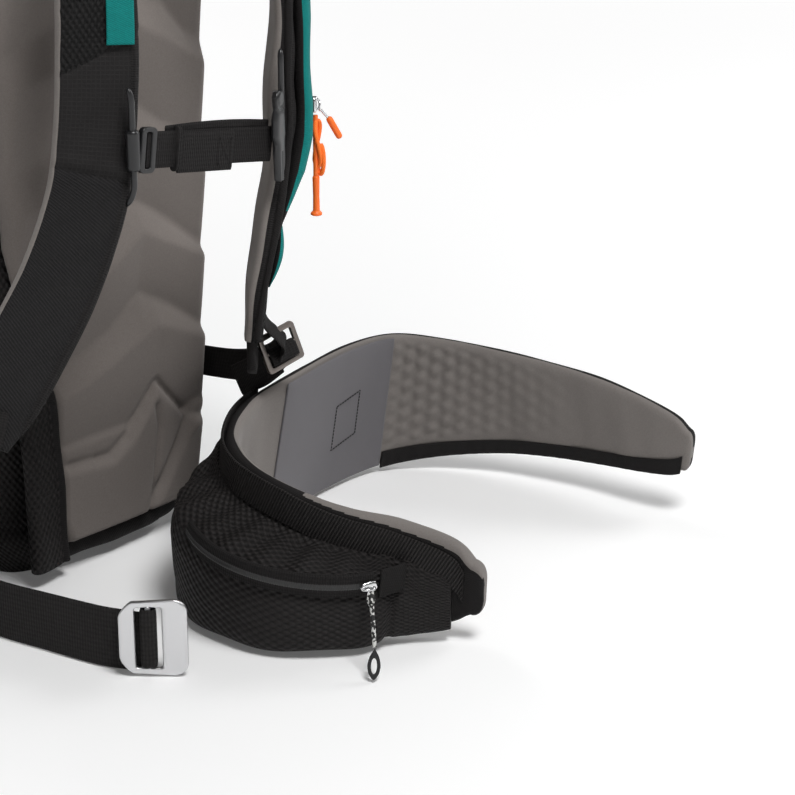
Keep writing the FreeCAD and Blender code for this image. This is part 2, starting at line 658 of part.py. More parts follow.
# --------------------------------------------------------------------------
# Hip belt, lifted off the pack and standing in front of it
# --------------------------------------------------------------------------
# Along the belt: rim x, y, z and foot x, y, z down the middle of the foam
BELT = (
    (42, -318, 64, 48, -312, 20), (37, -304, 78, 42, -298, 12), (18, -272, 90, 20, -272, 8),
    (-4, -245, 98, -2, -246, 5), (-17, -214, 105, -16, -215, 3), (-19, -181, 111, -19, -181, 2),
    (-11, -147, 116, -13, -141, 2), (13, -117, 120, 8, -106, 2), (58, -91, 124, 52, -74, 2),
    (120, -80, 127, 116, -57, 2), (188, -70, 128, 187, -46, 2), (238, -75, 127, 246, -50, 4),
    (268, -104, 122, 284, -84, 12), (292, -147, 115, 311, -134, 20), (307, -187, 109, 322, -180, 25),
    (319, -227, 102, 328, -224, 28), (326, -266, 92, 328, -264, 32), (331, -292, 78, 330, -290, 38),
    (334, -303, 64, 333, -300, 46))
rims = [V(*row[:3]) for row in BELT]
feet = [V(*row[3:]) for row in BELT]
MIDDLE_OF_LOOP = V(150, -200, 0)


def belt_face(i):
    """The level outward normal of the belt at station i."""
    along = rims[min(i + 1, len(rims) - 1)] - rims[max(i - 1, 0)]
    face = V(along.y, -along.x, 0).normalize()
    outward = rims[i] - MIDDLE_OF_LOOP
    return face if face.dot(outward) > 0 else -face


def belt_layer(low, high, first=0, last=None, top=None, bottom=None):
    """One layer of the belt, between two distances out from the middle of the foam.

    top and bottom are distances down from the rim and up from the foot, zero if not given.
    """
    sections = []
    for i in range(len(BELT))[first:last]:
        fall = feet[i] - rims[i]
        share = 1 / fall.Length
        upper = rims[i] + fall * (share * (top or 0))
        lower = feet[i] - fall * (share * (bottom or 0))
        face = belt_face(i)
        sections.append([upper + face * low, lower + face * low, lower + face * high, upper + face * high])
    return skin(sections)


half_core = size("belt_core") / 2
cover = size("belt_cover")
inside_face = -half_core - cover
outside_face = half_core + cover
direct_node("belt_core", belt_layer(-half_core, half_core))
direct_node("belt_lining", belt_layer(inside_face, -half_core))
direct_node("belt_cover", belt_layer(half_core, outside_face))
direct_node("lumbar_patch", belt_layer(inside_face - 1.2, inside_face, 9, 12, top=3, bottom=3))
direct_node("belt_tongue", belt_layer(outside_face, outside_face + 2, 9, 12, top=20, bottom=30))


def band_foot(i):
    """The lower edge of the ribbed band, one band width under the rim."""
    fall = feet[i] - rims[i]
    return rims[i] + fall * (size("belt_band_wide") / fall.Length)


band_in = outside_face + 0.2
band_out = band_in + size("belt_band_thick")
BAND_ROWS = (1, 9)
band_sections_list = []
for i in range(*BAND_ROWS):
    face = belt_face(i)
    upper = rims[i]
    lower = band_foot(i)
    band_sections_list.append([upper + face * band_in, lower + face * band_in,
                               lower + face * band_out, upper + face * band_out])
direct_node("belt_band", skin(band_sections_list))

edge_rows = []
for i in range(12, len(BELT) - 1):
    face = belt_face(i)
    climb = (rims[i] - feet[i]).normalize()
    lower = feet[i]
    upper = feet[i] + climb * 12
    edge_rows.append([upper + face * (inside_face - 1), lower + face * (inside_face - 1),
                      lower + face * (inside_face - 0.2), upper + face * (inside_face - 0.2)])
direct_node("belt_edge_strip", skin(edge_rows))

# Zipped pocket on the right wing: station, bulge at the zip, height of the zip
POCKET = ((1, 2, 44), (2, 10, 54), (3, 30, 58), (4, 44, 63),
          (5, 48, 68), (6, 42, 73), (7, 24, 78), (8, 2, 80))


def belt_pocket(inset):
    """The pocket's outside, or the surface at an inset inside it."""
    sections = []
    rows = POCKET[1:-1] if inset else POCKET
    for station, bulge, zip_z in rows:
        face = belt_face(station)
        back = (rims[station] + feet[station]) / 2 + face * (outside_face + inset)
        reach = max(bulge - 2 * inset, 1)
        top = band_foot(station).z - 2 - inset
        low = feet[station].z + 1 + inset

        def at(out, z):
            return V(back.x, back.y, 0) + face * out + UP * z

        root = 0 if inset else -4
        sections.append([at(root, top), at(min(5, reach * 0.6), top - 1), at(reach, zip_z),
                         at(reach, 24 + inset), at(reach * 0.86, low), at(root, low)])
    return skin(sections)


pocket_parts = belt_pocket(0).cut(belt_layer(-half_core, outside_face)).Solids
pocket_solid = max(pocket_parts, key=lambda part: part.Volume)
direct_node("belt_pocket", pocket_solid.cut(belt_pocket(size("pocket_wall"))))

# The pocket's zip runs round an arc; its slider turns about the middle of that arc
ZIP_MIDDLE = V(17, -192, 66)
ZIP_TILT = V(0, -0.125, 0.992).normalize()
ZIP_RADIUS = 92
ZIP_START = -112
ZIP_SWEEP = 100


def on_zip(angle, radius, rise=0):
    """A point near the zip's arc, at an angle seen from above."""
    flat = heading(angle)
    along = (flat - ZIP_TILT * flat.dot(ZIP_TILT)).normalize()
    return ZIP_MIDDLE + along * radius + ZIP_TILT * rise


coil_steps = 12
coil_rows = []
for k in range(coil_steps + 1):
    angle = ZIP_START - ZIP_SWEEP * k / coil_steps
    coil_rows.append([on_zip(angle, ZIP_RADIUS - 9, -4), on_zip(angle, ZIP_RADIUS, -4),
                      on_zip(angle, ZIP_RADIUS, 4), on_zip(angle, ZIP_RADIUS - 9, 4)])
direct_node("pocket_zip", skin(coil_rows).cut(pocket_solid))

ZIP_REST = ZIP_START - 3
slider_spot = on_zip(ZIP_REST, ZIP_RADIUS)
slider_out = (slider_spot - ZIP_MIDDLE).normalize()
zip_slider("pocket_slider", slider_spot + slider_out * 1.2, slider_out.cross(ZIP_TILT), slider_out)
PULL_TOP = slider_spot + slider_out * 8 - UP * 3
PULL_LOW = V(-39.5, -297, 21.5)
LOOP_LOW = V(-45.5, -301, 4)
pull_run = PULL_LOW - PULL_TOP
direct_node("pocket_pull_cord", Part.makeCylinder(size("cable_radius"), pull_run.Length, PULL_TOP, pull_run))
LOOP_OUTLINE = ((0, -2.5), (6, -5), (17, -5), (21, -2), (21, 2), (17, 5), (6, 5), (0, 2.5))
loop_along = LOOP_LOW - PULL_LOW
loop_face = loop_along.cross(V(0.64, -0.77, 0)).normalize()
plate("pocket_pull_loop", lambda s: add_polygon(s, LOOP_OUTLINE), "lock_thick",
      placed(PULL_LOW + loop_along * 0.08, loop_along, loop_face),
      windows=[((11.5, 0), "loop_gap_long", "loop_gap")], corner_round="small_round")

# --------------------------------------------------------------------------
# Check and write
# --------------------------------------------------------------------------
doc.recompute()
for feature in doc.Objects:
    if "Invalid" in feature.State or "Error" in feature.State:
        raise RuntimeError(f"{feature.Label} did not compute: {feature.State}")
for node in NODES:
    if node.Shape.isNull() or not node.Shape.isValid() or node.Shape.Volume <= 0:
        raise RuntimeError(f"{node.Label} is not a sound solid")
    node.Shape.exportStep(f"parts/{node.Label}.step")
    box = node.Shape.BoundBox
    print(f"{node.Label}: {node.Shape.Volume / 1000:.1f} cm3, {len(node.Shape.Solids)} solid,"
          f" z {box.ZMin:.1f} to {box.ZMax:.1f}")
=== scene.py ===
"""Looks of the avalanche airbag backpack, built over its CAD frame."""

import math

import bpy
import numpy as np
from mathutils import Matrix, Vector


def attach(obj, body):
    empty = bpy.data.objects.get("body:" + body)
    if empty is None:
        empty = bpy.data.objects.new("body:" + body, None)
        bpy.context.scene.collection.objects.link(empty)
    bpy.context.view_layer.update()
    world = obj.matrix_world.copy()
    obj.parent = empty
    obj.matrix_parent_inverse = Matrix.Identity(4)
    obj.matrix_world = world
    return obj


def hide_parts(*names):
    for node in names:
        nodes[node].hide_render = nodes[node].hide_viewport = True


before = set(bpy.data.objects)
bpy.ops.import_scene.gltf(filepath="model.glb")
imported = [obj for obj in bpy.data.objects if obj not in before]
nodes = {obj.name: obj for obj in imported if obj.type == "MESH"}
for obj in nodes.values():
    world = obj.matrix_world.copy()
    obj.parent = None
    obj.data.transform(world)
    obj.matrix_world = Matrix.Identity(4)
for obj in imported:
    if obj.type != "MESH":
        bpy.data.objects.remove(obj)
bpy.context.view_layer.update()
MM = 0.001

# ----------------------------------------------------------------------------
# Camera, floor and light: a pale studio with soft light from above and in front. The floor glows
# more with distance and the sky is bright near the horizon, so the background stays pale
# ----------------------------------------------------------------------------
scene = bpy.context.scene
scene.view_settings.view_transform = "Standard"
camera_data = bpy.data.cameras.new("camera")
camera_data.lens = 104.15
camera_data.sensor_width = 36
camera = bpy.data.objects.new("camera", camera_data)
scene.collection.objects.link(camera)
camera.location = (-1.106, -1.212, 0.713)
look = Vector((0.7198, 0.6040, -0.3420))
camera.rotation_euler = look.to_track_quat("-Z", "Y").to_euler()
scene.camera = camera


def shader(name, colour, roughness, metallic=0.0, **sockets):
    """A material with one principled shader; returns it with its tree and shader node."""
    material = bpy.data.materials.new(name)
    material.use_nodes = True
    tree = material.node_tree
    principled = tree.nodes["Principled BSDF"]
    principled.inputs["Base Color"].default_value = (*colour, 1)
    principled.inputs["Roughness"].default_value = roughness
    principled.inputs["Metallic"].default_value = metallic
    for socket, value in sockets.items():
        principled.inputs[socket.replace("_", " ")].default_value = value
    return material, tree, principled


floor_material, floor_tree, floor_shader = shader("studio_floor", (0.92, 0.92, 0.92), 0.9)
floor_place = floor_tree.nodes.new("ShaderNodeTexCoord")
floor_length = floor_tree.nodes.new("ShaderNodeVectorMath")
floor_length.operation = "LENGTH"
floor_glow = floor_tree.nodes.new("ShaderNodeMapRange")
for socket, value in (("From Min", 0.2), ("From Max", 2.6), ("To Min", 0.08), ("To Max", 0.72)):
    floor_glow.inputs[socket].default_value = value
floor_shader.inputs["Emission Color"].default_value = (1, 1, 1, 1)
floor_tree.links.new(floor_place.outputs["Object"], floor_length.inputs[0])
floor_tree.links.new(floor_length.outputs["Value"], floor_glow.inputs["Value"])
floor_tree.links.new(floor_glow.outputs[0], floor_shader.inputs["Emission Strength"])
floor_mesh = bpy.data.meshes.new("floor")
floor_mesh.from_pydata([(-40, -40, -0.0005), (40, -40, -0.0005), (40, 40, -0.0005), (-40, 40, -0.0005)],
                       [], [(0, 1, 2, 3)])
floor = bpy.data.objects.new("floor", floor_mesh)
floor.data.materials.append(floor_material)
scene.collection.objects.link(floor)

world = bpy.data.worlds.new("studio")
scene.world = world
world.use_nodes = True
sky = world.node_tree.nodes["Background"]
sky.inputs["Color"].default_value = (1, 1, 1, 1)
sky_place = world.node_tree.nodes.new("ShaderNodeTexCoord")
sky_split = world.node_tree.nodes.new("ShaderNodeSeparateXYZ")
sky_range = world.node_tree.nodes.new("ShaderNodeMapRange")
for socket, value in (("From Min", 0.10), ("From Max", 0.30), ("To Min", 0.6), ("To Max", 0.05)):
    sky_range.inputs[socket].default_value = value
world.node_tree.links.new(sky_place.outputs["Generated"], sky_split.inputs[0])
world.node_tree.links.new(sky_split.outputs[2], sky_range.inputs["Value"])
world.node_tree.links.new(sky_range.outputs[0], sky.inputs["Strength"])


def soft_light(name, position, target, width, watts):
    """A square area light aimed at a point."""
    data = bpy.data.lights.new(name, "AREA")
    data.size = width
    data.energy = watts
    lamp = bpy.data.objects.new(name, data)
    lamp.location = position
    lamp.rotation_euler = (Vector(target) - Vector(position)).to_track_quat("-Z", "Y").to_euler()
    scene.collection.objects.link(lamp)


soft_light("key_light", (-0.3, -1.2, 2.2), (0.05, -0.1, 0.2), 0.8, 44)
soft_light("side_light", (1.8, -0.9, 1.4), (0.1, -0.1, 0.25), 0.9, 14)
soft_light("back_light", (0.6, 1.8, 1.6), (0, 0, 0.3), 1.0, 12)


# ----------------------------------------------------------------------------
# Bag: sewn panels of black coated cloth with a teal front, full of gear
# ----------------------------------------------------------------------------
def unit(vectors):
    """Each vector divided by its length."""
    return vectors / np.maximum(np.linalg.norm(vectors, axis=-1, keepdims=True), 1e-12)


def through(rows, count):
    """A smooth curve through rows of numbers: each span is a cubic whose slopes come from its
    neighbours."""
    rows = np.array(rows, float)
    t = np.linspace(0, len(rows) - 1, count)
    i = np.clip(t.astype(int), 0, len(rows) - 2)
    f = (t - i)[:, None]
    wide = np.vstack([2 * rows[0] - rows[1], rows, 2 * rows[-1] - rows[-2]])
    a, b, c, d = (wide[i + k] for k in range(4))
    return 0.5 * (2 * b + (c - a) * f + (2 * a - 5 * b + 4 * c - d) * f ** 2
                  + (3 * b - a - 3 * c + d) * f ** 3)


def ring(rows, count):
    """The same curve closed on itself, without repeating its first point."""
    rows = np.array(rows, float)
    closed = np.vstack([rows[-2:], rows, rows[:3]])
    spans = len(closed) - 1
    whole = through(closed, spans * 24 + 1)[2 * 24:(2 + len(rows)) * 24 + 1]
    step = np.r_[0, np.cumsum(np.linalg.norm(np.diff(whole, axis=0), axis=1))]
    even = np.linspace(0, step[-1], count + 1)[:-1]
    return np.stack([np.interp(even, step, whole[:, k]) for k in range(whole.shape[1])], 1)


def surface(name, points, materials, body, zone=None, smooth=True, torus=False):
    """A closed skin on a grid: points[i, j] runs along i and once round j, with capped ends.
    UV is metres along and metres round. zone gives each face's material number. A torus also
    joins its last row to its first."""
    count, around = points.shape[:2]
    i, j = np.meshgrid(np.arange(count if torus else count - 1), np.arange(around), indexing="ij")
    k, n = (j + 1) % around, (i + 1) % count
    quads = np.stack([i * around + j, n * around + j, n * around + k, i * around + k], -1)
    quads = quads.reshape(-1, 4)
    lined = np.concatenate([points, points[:1]], 0)
    u = np.r_[0, np.cumsum(np.linalg.norm(np.diff(lined, axis=0), axis=2).mean(1))]
    looped = np.concatenate([points, points[:, :1]], 1)
    v = np.r_[0, np.cumsum(np.linalg.norm(np.diff(looped, axis=1), axis=2).mean(0))]
    uv = np.stack([np.stack([u[i], v[j]], -1), np.stack([u[i + 1], v[j]], -1),
                   np.stack([u[i + 1], v[j + 1]], -1), np.stack([u[i], v[j + 1]], -1)], 2)
    uv = uv.reshape(-1, 4, 2)
    flat = points.reshape(-1, 3)
    corners = flat[quads]
    area = np.cross(corners[:, 2] - corners[:, 0], corners[:, 3] - corners[:, 1])
    first, last = np.arange(around), (count - 1) * around + np.arange(around)
    centre = flat.mean(0)
    outward = ((corners.mean(1) - centre) * area).sum()
    if outward < 0:
        quads, uv = quads[:, ::-1], uv[:, ::-1]
        first, last = first[::-1], last[::-1]
    faces = quads.tolist() + ([] if torus else [first.tolist(), last[::-1].tolist()])
    mesh = bpy.data.meshes.new(name)
    mesh.from_pydata(flat.tolist(), [], faces)
    layer = mesh.uv_layers.new(name="UVMap")
    flat_uv = np.zeros((len(mesh.loops), 2), np.float32)
    flat_uv[:quads.size] = uv.reshape(-1, 2)
    if not torus:
        flat_uv[quads.size:] = flat[np.r_[first, last[::-1]]][:, :2] + 1
    layer.data.foreach_set("uv", flat_uv.ravel())
    number = np.zeros(len(faces), np.int32)
    if zone is not None:
        number[:len(quads)] = np.asarray(zone).ravel()
    mesh.polygons.foreach_set("material_index", number)
    mesh.polygons.foreach_set("use_smooth", np.full(len(faces), smooth))
    for material in materials if isinstance(materials, (list, tuple)) else [materials]:
        mesh.materials.append(material)
    mesh.update()
    piece = bpy.data.objects.new(name, mesh)
    scene.collection.objects.link(piece)
    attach(piece, body)
    return piece


def weave(material_tree, principled, kind, pitch, depth, contrast, colour, grain=0.25):
    """Cloth structure from UV in metres: a height made of sines of the distance along and across, which
    drives both a bump and a painted shade and highlight in the thread colour: darker in the dips, lighter
    on the raised threads."""
    tree = material_tree
    add = tree.nodes.new

    def math_node(operation, a, b=0.0, c=0.0):
        node = add("ShaderNodeMath")
        node.operation = operation
        for socket, value in zip(node.inputs, (a, b, c)):
            if isinstance(value, (int, float)):
                socket.default_value = value
            else:
                tree.links.new(value, socket)
        return node.outputs[0]

    uv = add("ShaderNodeUVMap")
    uv.uv_map = "UVMap"
    split = add("ShaderNodeSeparateXYZ")
    tree.links.new(uv.outputs[0], split.inputs[0])
    u, v = split.outputs[0], split.outputs[1]
    turn = 2 * math.pi / pitch
    if kind == "ribs":
        fine = math_node("SINE", math_node("MULTIPLY", u, turn * 1.0))
        broad = math_node("SINE", math_node("MULTIPLY", v, turn / 1.6))
        height = math_node("ADD", math_node("MULTIPLY", fine, 0.6), math_node("MULTIPLY", broad, 0.4))
    elif kind == "dobby":
        one = math_node("SINE", math_node("MULTIPLY", u, turn * 0.62))
        two = math_node("SINE", math_node("MULTIPLY", v, turn))
        height = math_node("MULTIPLY", one, two)
    elif kind == "twill":
        height = math_node("SINE", math_node("MULTIPLY",
                                             math_node("ADD", u, math_node("MULTIPLY", v, 0.5)), turn))
    elif kind == "ripstop":
        thread = math_node("POWER", math_node("ABSOLUTE", math_node("SINE",
                           math_node("MULTIPLY", u, turn / 2))), 14.0)
        cross = math_node("POWER", math_node("ABSOLUTE", math_node("SINE",
                          math_node("MULTIPLY", v, turn / 2))), 14.0)
        height = math_node("SUBTRACT", math_node("MULTIPLY", math_node("MAXIMUM", thread, cross), 1.6), 0.6)
    else:
        one = math_node("SINE", math_node("MULTIPLY", u, turn))
        two = math_node("SINE", math_node("MULTIPLY", v, turn * 1.15))
        height = math_node("MULTIPLY", one, two)
    noise = add("ShaderNodeTexNoise")
    place = add("ShaderNodeTexCoord")
    tree.links.new(place.outputs["Object"], noise.inputs["Vector"])
    noise.inputs["Scale"].default_value = 900
    noise.inputs["Detail"].default_value = 3
    speck = math_node("SUBTRACT", noise.outputs[0], 0.5)
    total = math_node("ADD", math_node("MULTIPLY", height, contrast),
                      math_node("MULTIPLY", speck, grain * 4))
    painted_shade_and_speck = math_node("MULTIPLY_ADD", total, 0.5, 0.5)
    # painted shade and highlight: the colour runs from dark in the weave's dips to light on its raised
    # threads, plus a random fine speck
    ramp = add("ShaderNodeMix")
    ramp.data_type = "RGBA"
    tree.links.new(painted_shade_and_speck, ramp.inputs["Factor"])
    ramp.inputs["A"].default_value = (*[c * 0.45 for c in colour], 1)
    ramp.inputs["B"].default_value = (*[c * 1.75 for c in colour], 1)
    tree.links.new(ramp.outputs["Result"], principled.inputs["Base Color"])
    bump = add("ShaderNodeBump")
    bump.inputs["Strength"].default_value = 1.0
    bump.inputs["Distance"].default_value = depth
    tree.links.new(total, bump.inputs["Height"])
    tree.links.new(bump.outputs[0], principled.inputs["Normal"])


def cloth(name, colour, kind, pitch, depth=0.0003, contrast=0.5, roughness=0.85, grain=0.25, sheen=0.0):
    """A woven cloth of one colour."""
    material, tree, principled = shader(name, colour, roughness, Sheen_Weight=sheen)
    principled.inputs["Specular IOR Level"].default_value = 0.22
    weave(tree, principled, kind, pitch, depth, contrast, colour, grain)
    return material


BLACK = (0.0096, 0.0086, 0.0086)
TEAL = (0.0, 0.150, 0.140)
dobby = cloth("dobby_cloth", (0.0125, 0.0110, 0.0108), "dobby", 0.0046, 0.0007, 1.1, 0.7, 0.12)
fine_cloth = cloth("fine_cloth", BLACK, "twill", 0.0016, 0.0002, 0.4)
ripstop = cloth("ripstop_cloth", BLACK, "ripstop", 0.0030, 0.0002, 0.5, 0.7)
webbing = cloth("webbing", BLACK, "ribs", 0.0018, 0.0003, 0.6)
teal_cloth = cloth("teal_cloth", TEAL, "twill", 0.0014, 0.0002, 0.3, 0.75)

# height, half width near the wearer, in the middle and outside, depth near and far
BAG = np.array((
    (0, 78, 98, 78, 12, 172), (30, 86, 120, 100, 2, 194), (120, 94, 134, 118, -2, 206),
    (250, 99, 140, 124, -4, 208), (400, 101, 140, 122, -3, 198), (500, 98, 134, 112, 2, 180),
    (565, 84, 112, 92, 14, 156), (598, 54, 74, 56, 38, 122)), float)


def bag_ring(z, count=220):
    """The bag's outline at a height: a closed curve through ten points set by its widths."""
    near, middle, far, y_near, y_far = (np.interp(z, BAG[:, 0], BAG[:, k]) for k in range(1, 6))
    depth, mid = y_far - y_near, (y_near + y_far) / 2
    right = [(near, y_near + 0.03 * depth), (middle - 4, mid - 0.2 * depth), (middle, mid + 0.05 * depth),
             (far, y_far - 0.06 * depth)]
    rows = [(0, y_near)] + right + [(0, y_far)] + [(-x, y) for x, y in reversed(right)]
    flat = ring(rows, count)
    return np.column_stack([flat, np.full(count, z)]) * MM


rows = []
for height in np.linspace(0, 598, 151):
    rows.append(bag_ring(height))
rows = np.array(rows)
middle = rows.mean(1, keepdims=True)
heights = rows[:, :, 2] / MM
out = unit((rows - middle) * (1, 1, 0))
body_part = (heights > 42) & (heights < 503)
column = np.arange(220)
side_seam = int(np.argmax(rows[10:126, :110, 1] > 150 * MM, axis=1).mean())
from_seam = np.minimum(np.abs(column - side_seam), np.abs(column - (220 - side_seam))) * 3.2
seams = ((heights - 40) / 2.2, (heights - 505) / 2.2, (rows[:, :, 1] / MM - 22) / 2.4,
         from_seam[None] / 2.4 + 0 * heights)
groove = np.exp(-seams[0] ** 2) + np.exp(-seams[1] ** 2)
groove += (np.exp(-seams[2] ** 2) + np.exp(-seams[3] ** 2)) * body_part
x, y, z = (rows[:, :, k] / MM for k in range(3))
crease = np.sin(0.05 * x + 0.031 * z + 1.3 * np.sin(0.021 * y)) * np.sin(0.043 * z - 0.027 * y + 0.5)
crease += 0.5 * np.sin(0.11 * z + 0.05 * x * np.sign(y - 90) + 2 * np.sin(0.03 * x))
rows = rows + out * ((1.3 * crease * (y > 30) - 1.5 * groove)[..., None] * MM)
low, high = rows[:1], rows[-1:]
shrink = np.array((0.05, 0.35, 0.7, 0.93))[:, None, None]
base = low.mean(1, keepdims=True) + (low - low.mean(1, keepdims=True)) * shrink
crown = high.mean(1, keepdims=True) + (high - high.mean(1, keepdims=True)) * shrink[::-1]
crown[:, :, 2] += np.array((0.8, 2.2, 2.8, 3.0))[:, None] * MM
skin_points = np.concatenate([base, rows, crown])
centres = (skin_points[:-1] + skin_points[1:]) / 2 / MM
teal_part = (column >= side_seam) & (column < 220 - side_seam)
teal_part = teal_part & (centres[..., 2] > 40) & (centres[..., 2] < 505)
bag = surface("bag_shell", skin_points, [dobby, teal_cloth], "pack", teal_part.astype(int))
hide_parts("base_panel", "airbag_lid", "back_wall", "front_panel", "side_panel_left",
            "side_panel_right")


# ----------------------------------------------------------------------------
# Back panel: moulded foam laminated with warm grey cloth, pressed into facets, with a black
# hem and a black cloth cover over its lower right corner where the belt fin tucks in
# ----------------------------------------------------------------------------
GREY = (0.150, 0.132, 0.121)
foam = cloth("laminated_foam", GREY, "plain", 0.0012, 0.00006, 0.12, 0.9, 0.16, 0.1)
lining = cloth("grey_lining", (0.19, 0.172, 0.160), "plain", 0.0011, 0.00006, 0.12, 0.9, 0.14, 0.1)
# Lines across the panel: each valley and the crest under it, as (x, z) from left to right
VALLEYS = (((-110, 470), (0, 500), (110, 470)),
           ((-110, 389), (-55, 408), (10, 425), (55, 415), (77, 390), (110, 372)),
           ((-110, 306), (-61, 319), (0, 352), (26, 344), (51, 326), (110, 300)),
           ((-110, 240), (-40, 262), (11, 279), (35, 265), (56, 250), (79, 231), (110, 205)),
           ((-110, 148), (-51, 163), (-9, 179), (22, 202), (53, 185), (75, 169), (110, 142)))
CRESTS = (((-110, 452), (0, 476), (110, 450)),
          ((-110, 365), (-81, 373), (-56, 379), (10, 410), (29, 400), (52, 389), (86, 369), (110, 352)),
          ((-110, 278), (-61, 292), (10, 322), (51, 300), (86, 284), (110, 272)),
          ((-110, 200), (-50, 212), (-7, 229), (24, 249), (45, 238), (84, 220), (110, 205)),
          ((-110, 128), (-46, 144), (-13, 155), (37, 174), (81, 155), (110, 144)))
PAD_LEFT = ((24, 60), (44, 66), (100, 64), (150, 70), (210, 86), (260, 98), (497, 100))
PAD_RIGHT = ((24, 50), (34, 72), (44, 80), (100, 90), (160, 91), (214, 93), (292, 97), (413, 100),
             (497, 96))
across, up = np.meshgrid(np.linspace(-1, 1, 131), np.linspace(24, 497, 240))
left_edge = np.interp(up, *np.array(PAD_LEFT).T)
right_edge = np.interp(up, *np.array(PAD_RIGHT).T)
x = np.where(across < 0, across * left_edge, across * right_edge)
relief = np.zeros_like(x)
for k in range(len(VALLEYS)):
    valley = np.interp(x, *np.array(VALLEYS[k]).T)
    crest = np.interp(x, *np.array(CRESTS[k]).T)
    rise = np.clip((valley - up) / (valley - crest), 0, 1)
    below = np.interp(x, *np.array(VALLEYS[k + 1]).T) if k < 4 else np.full_like(x, 100)
    fall = np.clip((up - below) / (crest - below), 0, 1)
    facet = np.where(up > crest, rise, fall ** 0.8)
    relief = np.where((up <= valley) & (up > below), facet, relief)
relief = np.where(up > np.interp(x, *np.array(VALLEYS[0]).T), 1 - (up - 470) / 60, relief)
lumbar_top = np.interp(x, (-100, -51, -15, 3, 19, 34, 48, 66, 90), (88, 85, 82, 93, 110, 128, 112, 92, 86))
relief = np.where(up < lumbar_top, 0.85 + 0.15 * np.cos(x / 30), relief)
relief = np.where((up >= lumbar_top) & (up < 100), np.maximum(relief, 0.35), relief)
groove_line = np.abs(up - lumbar_top) / np.sqrt(1 + np.gradient(lumbar_top, axis=1) ** 2 / 2)
relief -= 0.55 * np.exp(-(groove_line / 2.4) ** 2)
ridge_x = np.interp(up, (24, 60, 93, 110, 128), (22, 28, 34, 32, 34))
fan_x = np.interp(up, (24, 42, 65, 86), (21, 32, 49, 64))
relief -= 0.5 * np.exp(-((x - ridge_x) / 2.2) ** 2) * (up < 112)
relief -= 0.95 * np.exp(-((x - fan_x) / 5.5) ** 2) * np.clip((up - 26) / 20, 0, 1) * (up < 90)
relief += 0.4 * np.exp(-((x - fan_x - 11) / 6) ** 2 - ((up - 84) / 8) ** 2)
relief -= 0.6 * np.exp(-((x - 67) / 8) ** 2 - ((up - 97) / 3) ** 2)
for _ in range(3):
    padded_relief = np.pad(relief, 1, mode="edge")
    relief = (padded_relief[1:-1, 1:-1] * 2 + padded_relief[:-2, 1:-1] + padded_relief[2:, 1:-1]
              + padded_relief[1:-1, :-2] + padded_relief[1:-1, 2:]) / 6
edge = np.minimum(1 - np.abs(across), 1)
end = np.minimum((up - 24) / 9, (497 - up) / 14)
roll = np.sqrt(np.clip(1 - (1 - np.clip(np.minimum(edge / 0.07, end), 0, 1)) ** 2, 0, 1))
front = -6.5 - 5.5 * roll - 9 * relief * np.clip(roll * 1.2, 0, 1) * np.clip(edge * 6 + 0.45, 0, 1)
face = np.stack([x, front, up], -1)
back = np.stack([x[:, ::-1], np.full_like(x, -4.0), up], -1)
pad = surface("back_panel_foam", np.concatenate([face, back], 1) * MM, foam, "pack")
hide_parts("back_pad")


def frames(path, side, sign=1.0):
    """Unit vectors along a path, across it as near to side as possible, and out of its face."""
    along = unit(np.gradient(path, axis=0))
    side = np.broadcast_to(np.asarray(side, float), path.shape)
    side = unit(side - along * (side * along).sum(1, keepdims=True))
    return along, side, unit(np.cross(along, side)) * sign


def flat_profile(count, power):
    """Once round a flat piece: position across from -1 to 1, and height, which falls from one to
    nothing at the edges as the root of one minus the position to a power."""
    a = np.sin(np.linspace(-np.pi / 2, np.pi / 2, count))
    f = np.sqrt(np.maximum(1 - np.abs(a) ** power, 0))
    return np.r_[a, a[-2:0:-1]], np.r_[f, -f[-2:0:-1]]


def plank(name, centre, half, face, low, high, materials, body, count=15, power=8, relief=None,
          zone=None):
    """A flat strip in millimetres: each point is the centre plus the half vector times its place
    across, plus the face vector times its height and the relief."""
    a, f = flat_profile(count, power)
    length = np.r_[0, np.cumsum(np.linalg.norm(np.diff(centre, axis=0), axis=1))][:, None]
    low, high = (np.broadcast_to(np.asarray(value, float), len(centre))[:, None] for value in (low, high))
    x = np.linalg.norm(half, axis=1)[:, None] * a
    out = (low + high) / 2 + (high - low) / 2 * f
    level = centre[:, 2:] + half[:, 2:] * a
    grid = [length + 0 * x, x, f + 0 * x, level]
    if relief is not None:
        out = out + relief(*grid)
    points = centre[:, None] + half[:, None] * a[None, :, None] + face[:, None] * out[..., None]
    if zone is not None:
        grid = [(value[:-1] + value[1:]) / 2 for value in grid]
        zone = np.asarray(zone(*[(value + np.roll(value, -1, 1)) / 2 for value in grid]), int)
    return surface(name, points * MM, materials, body, zone)


def band(name, path, side, width, low, high, materials, body, count=15, power=8, relief=None,
         sign=1.0, zone=None):
    """A flat strip of a width along a path, its side vector kept square to the path."""
    path = np.asarray(path, float)
    along, side, face = frames(path, side, sign)
    half = side * np.broadcast_to(np.asarray(width, float) / 2, len(path))[:, None]
    return plank(name, path, half, face, low, high, materials, body, count, power, relief, zone)


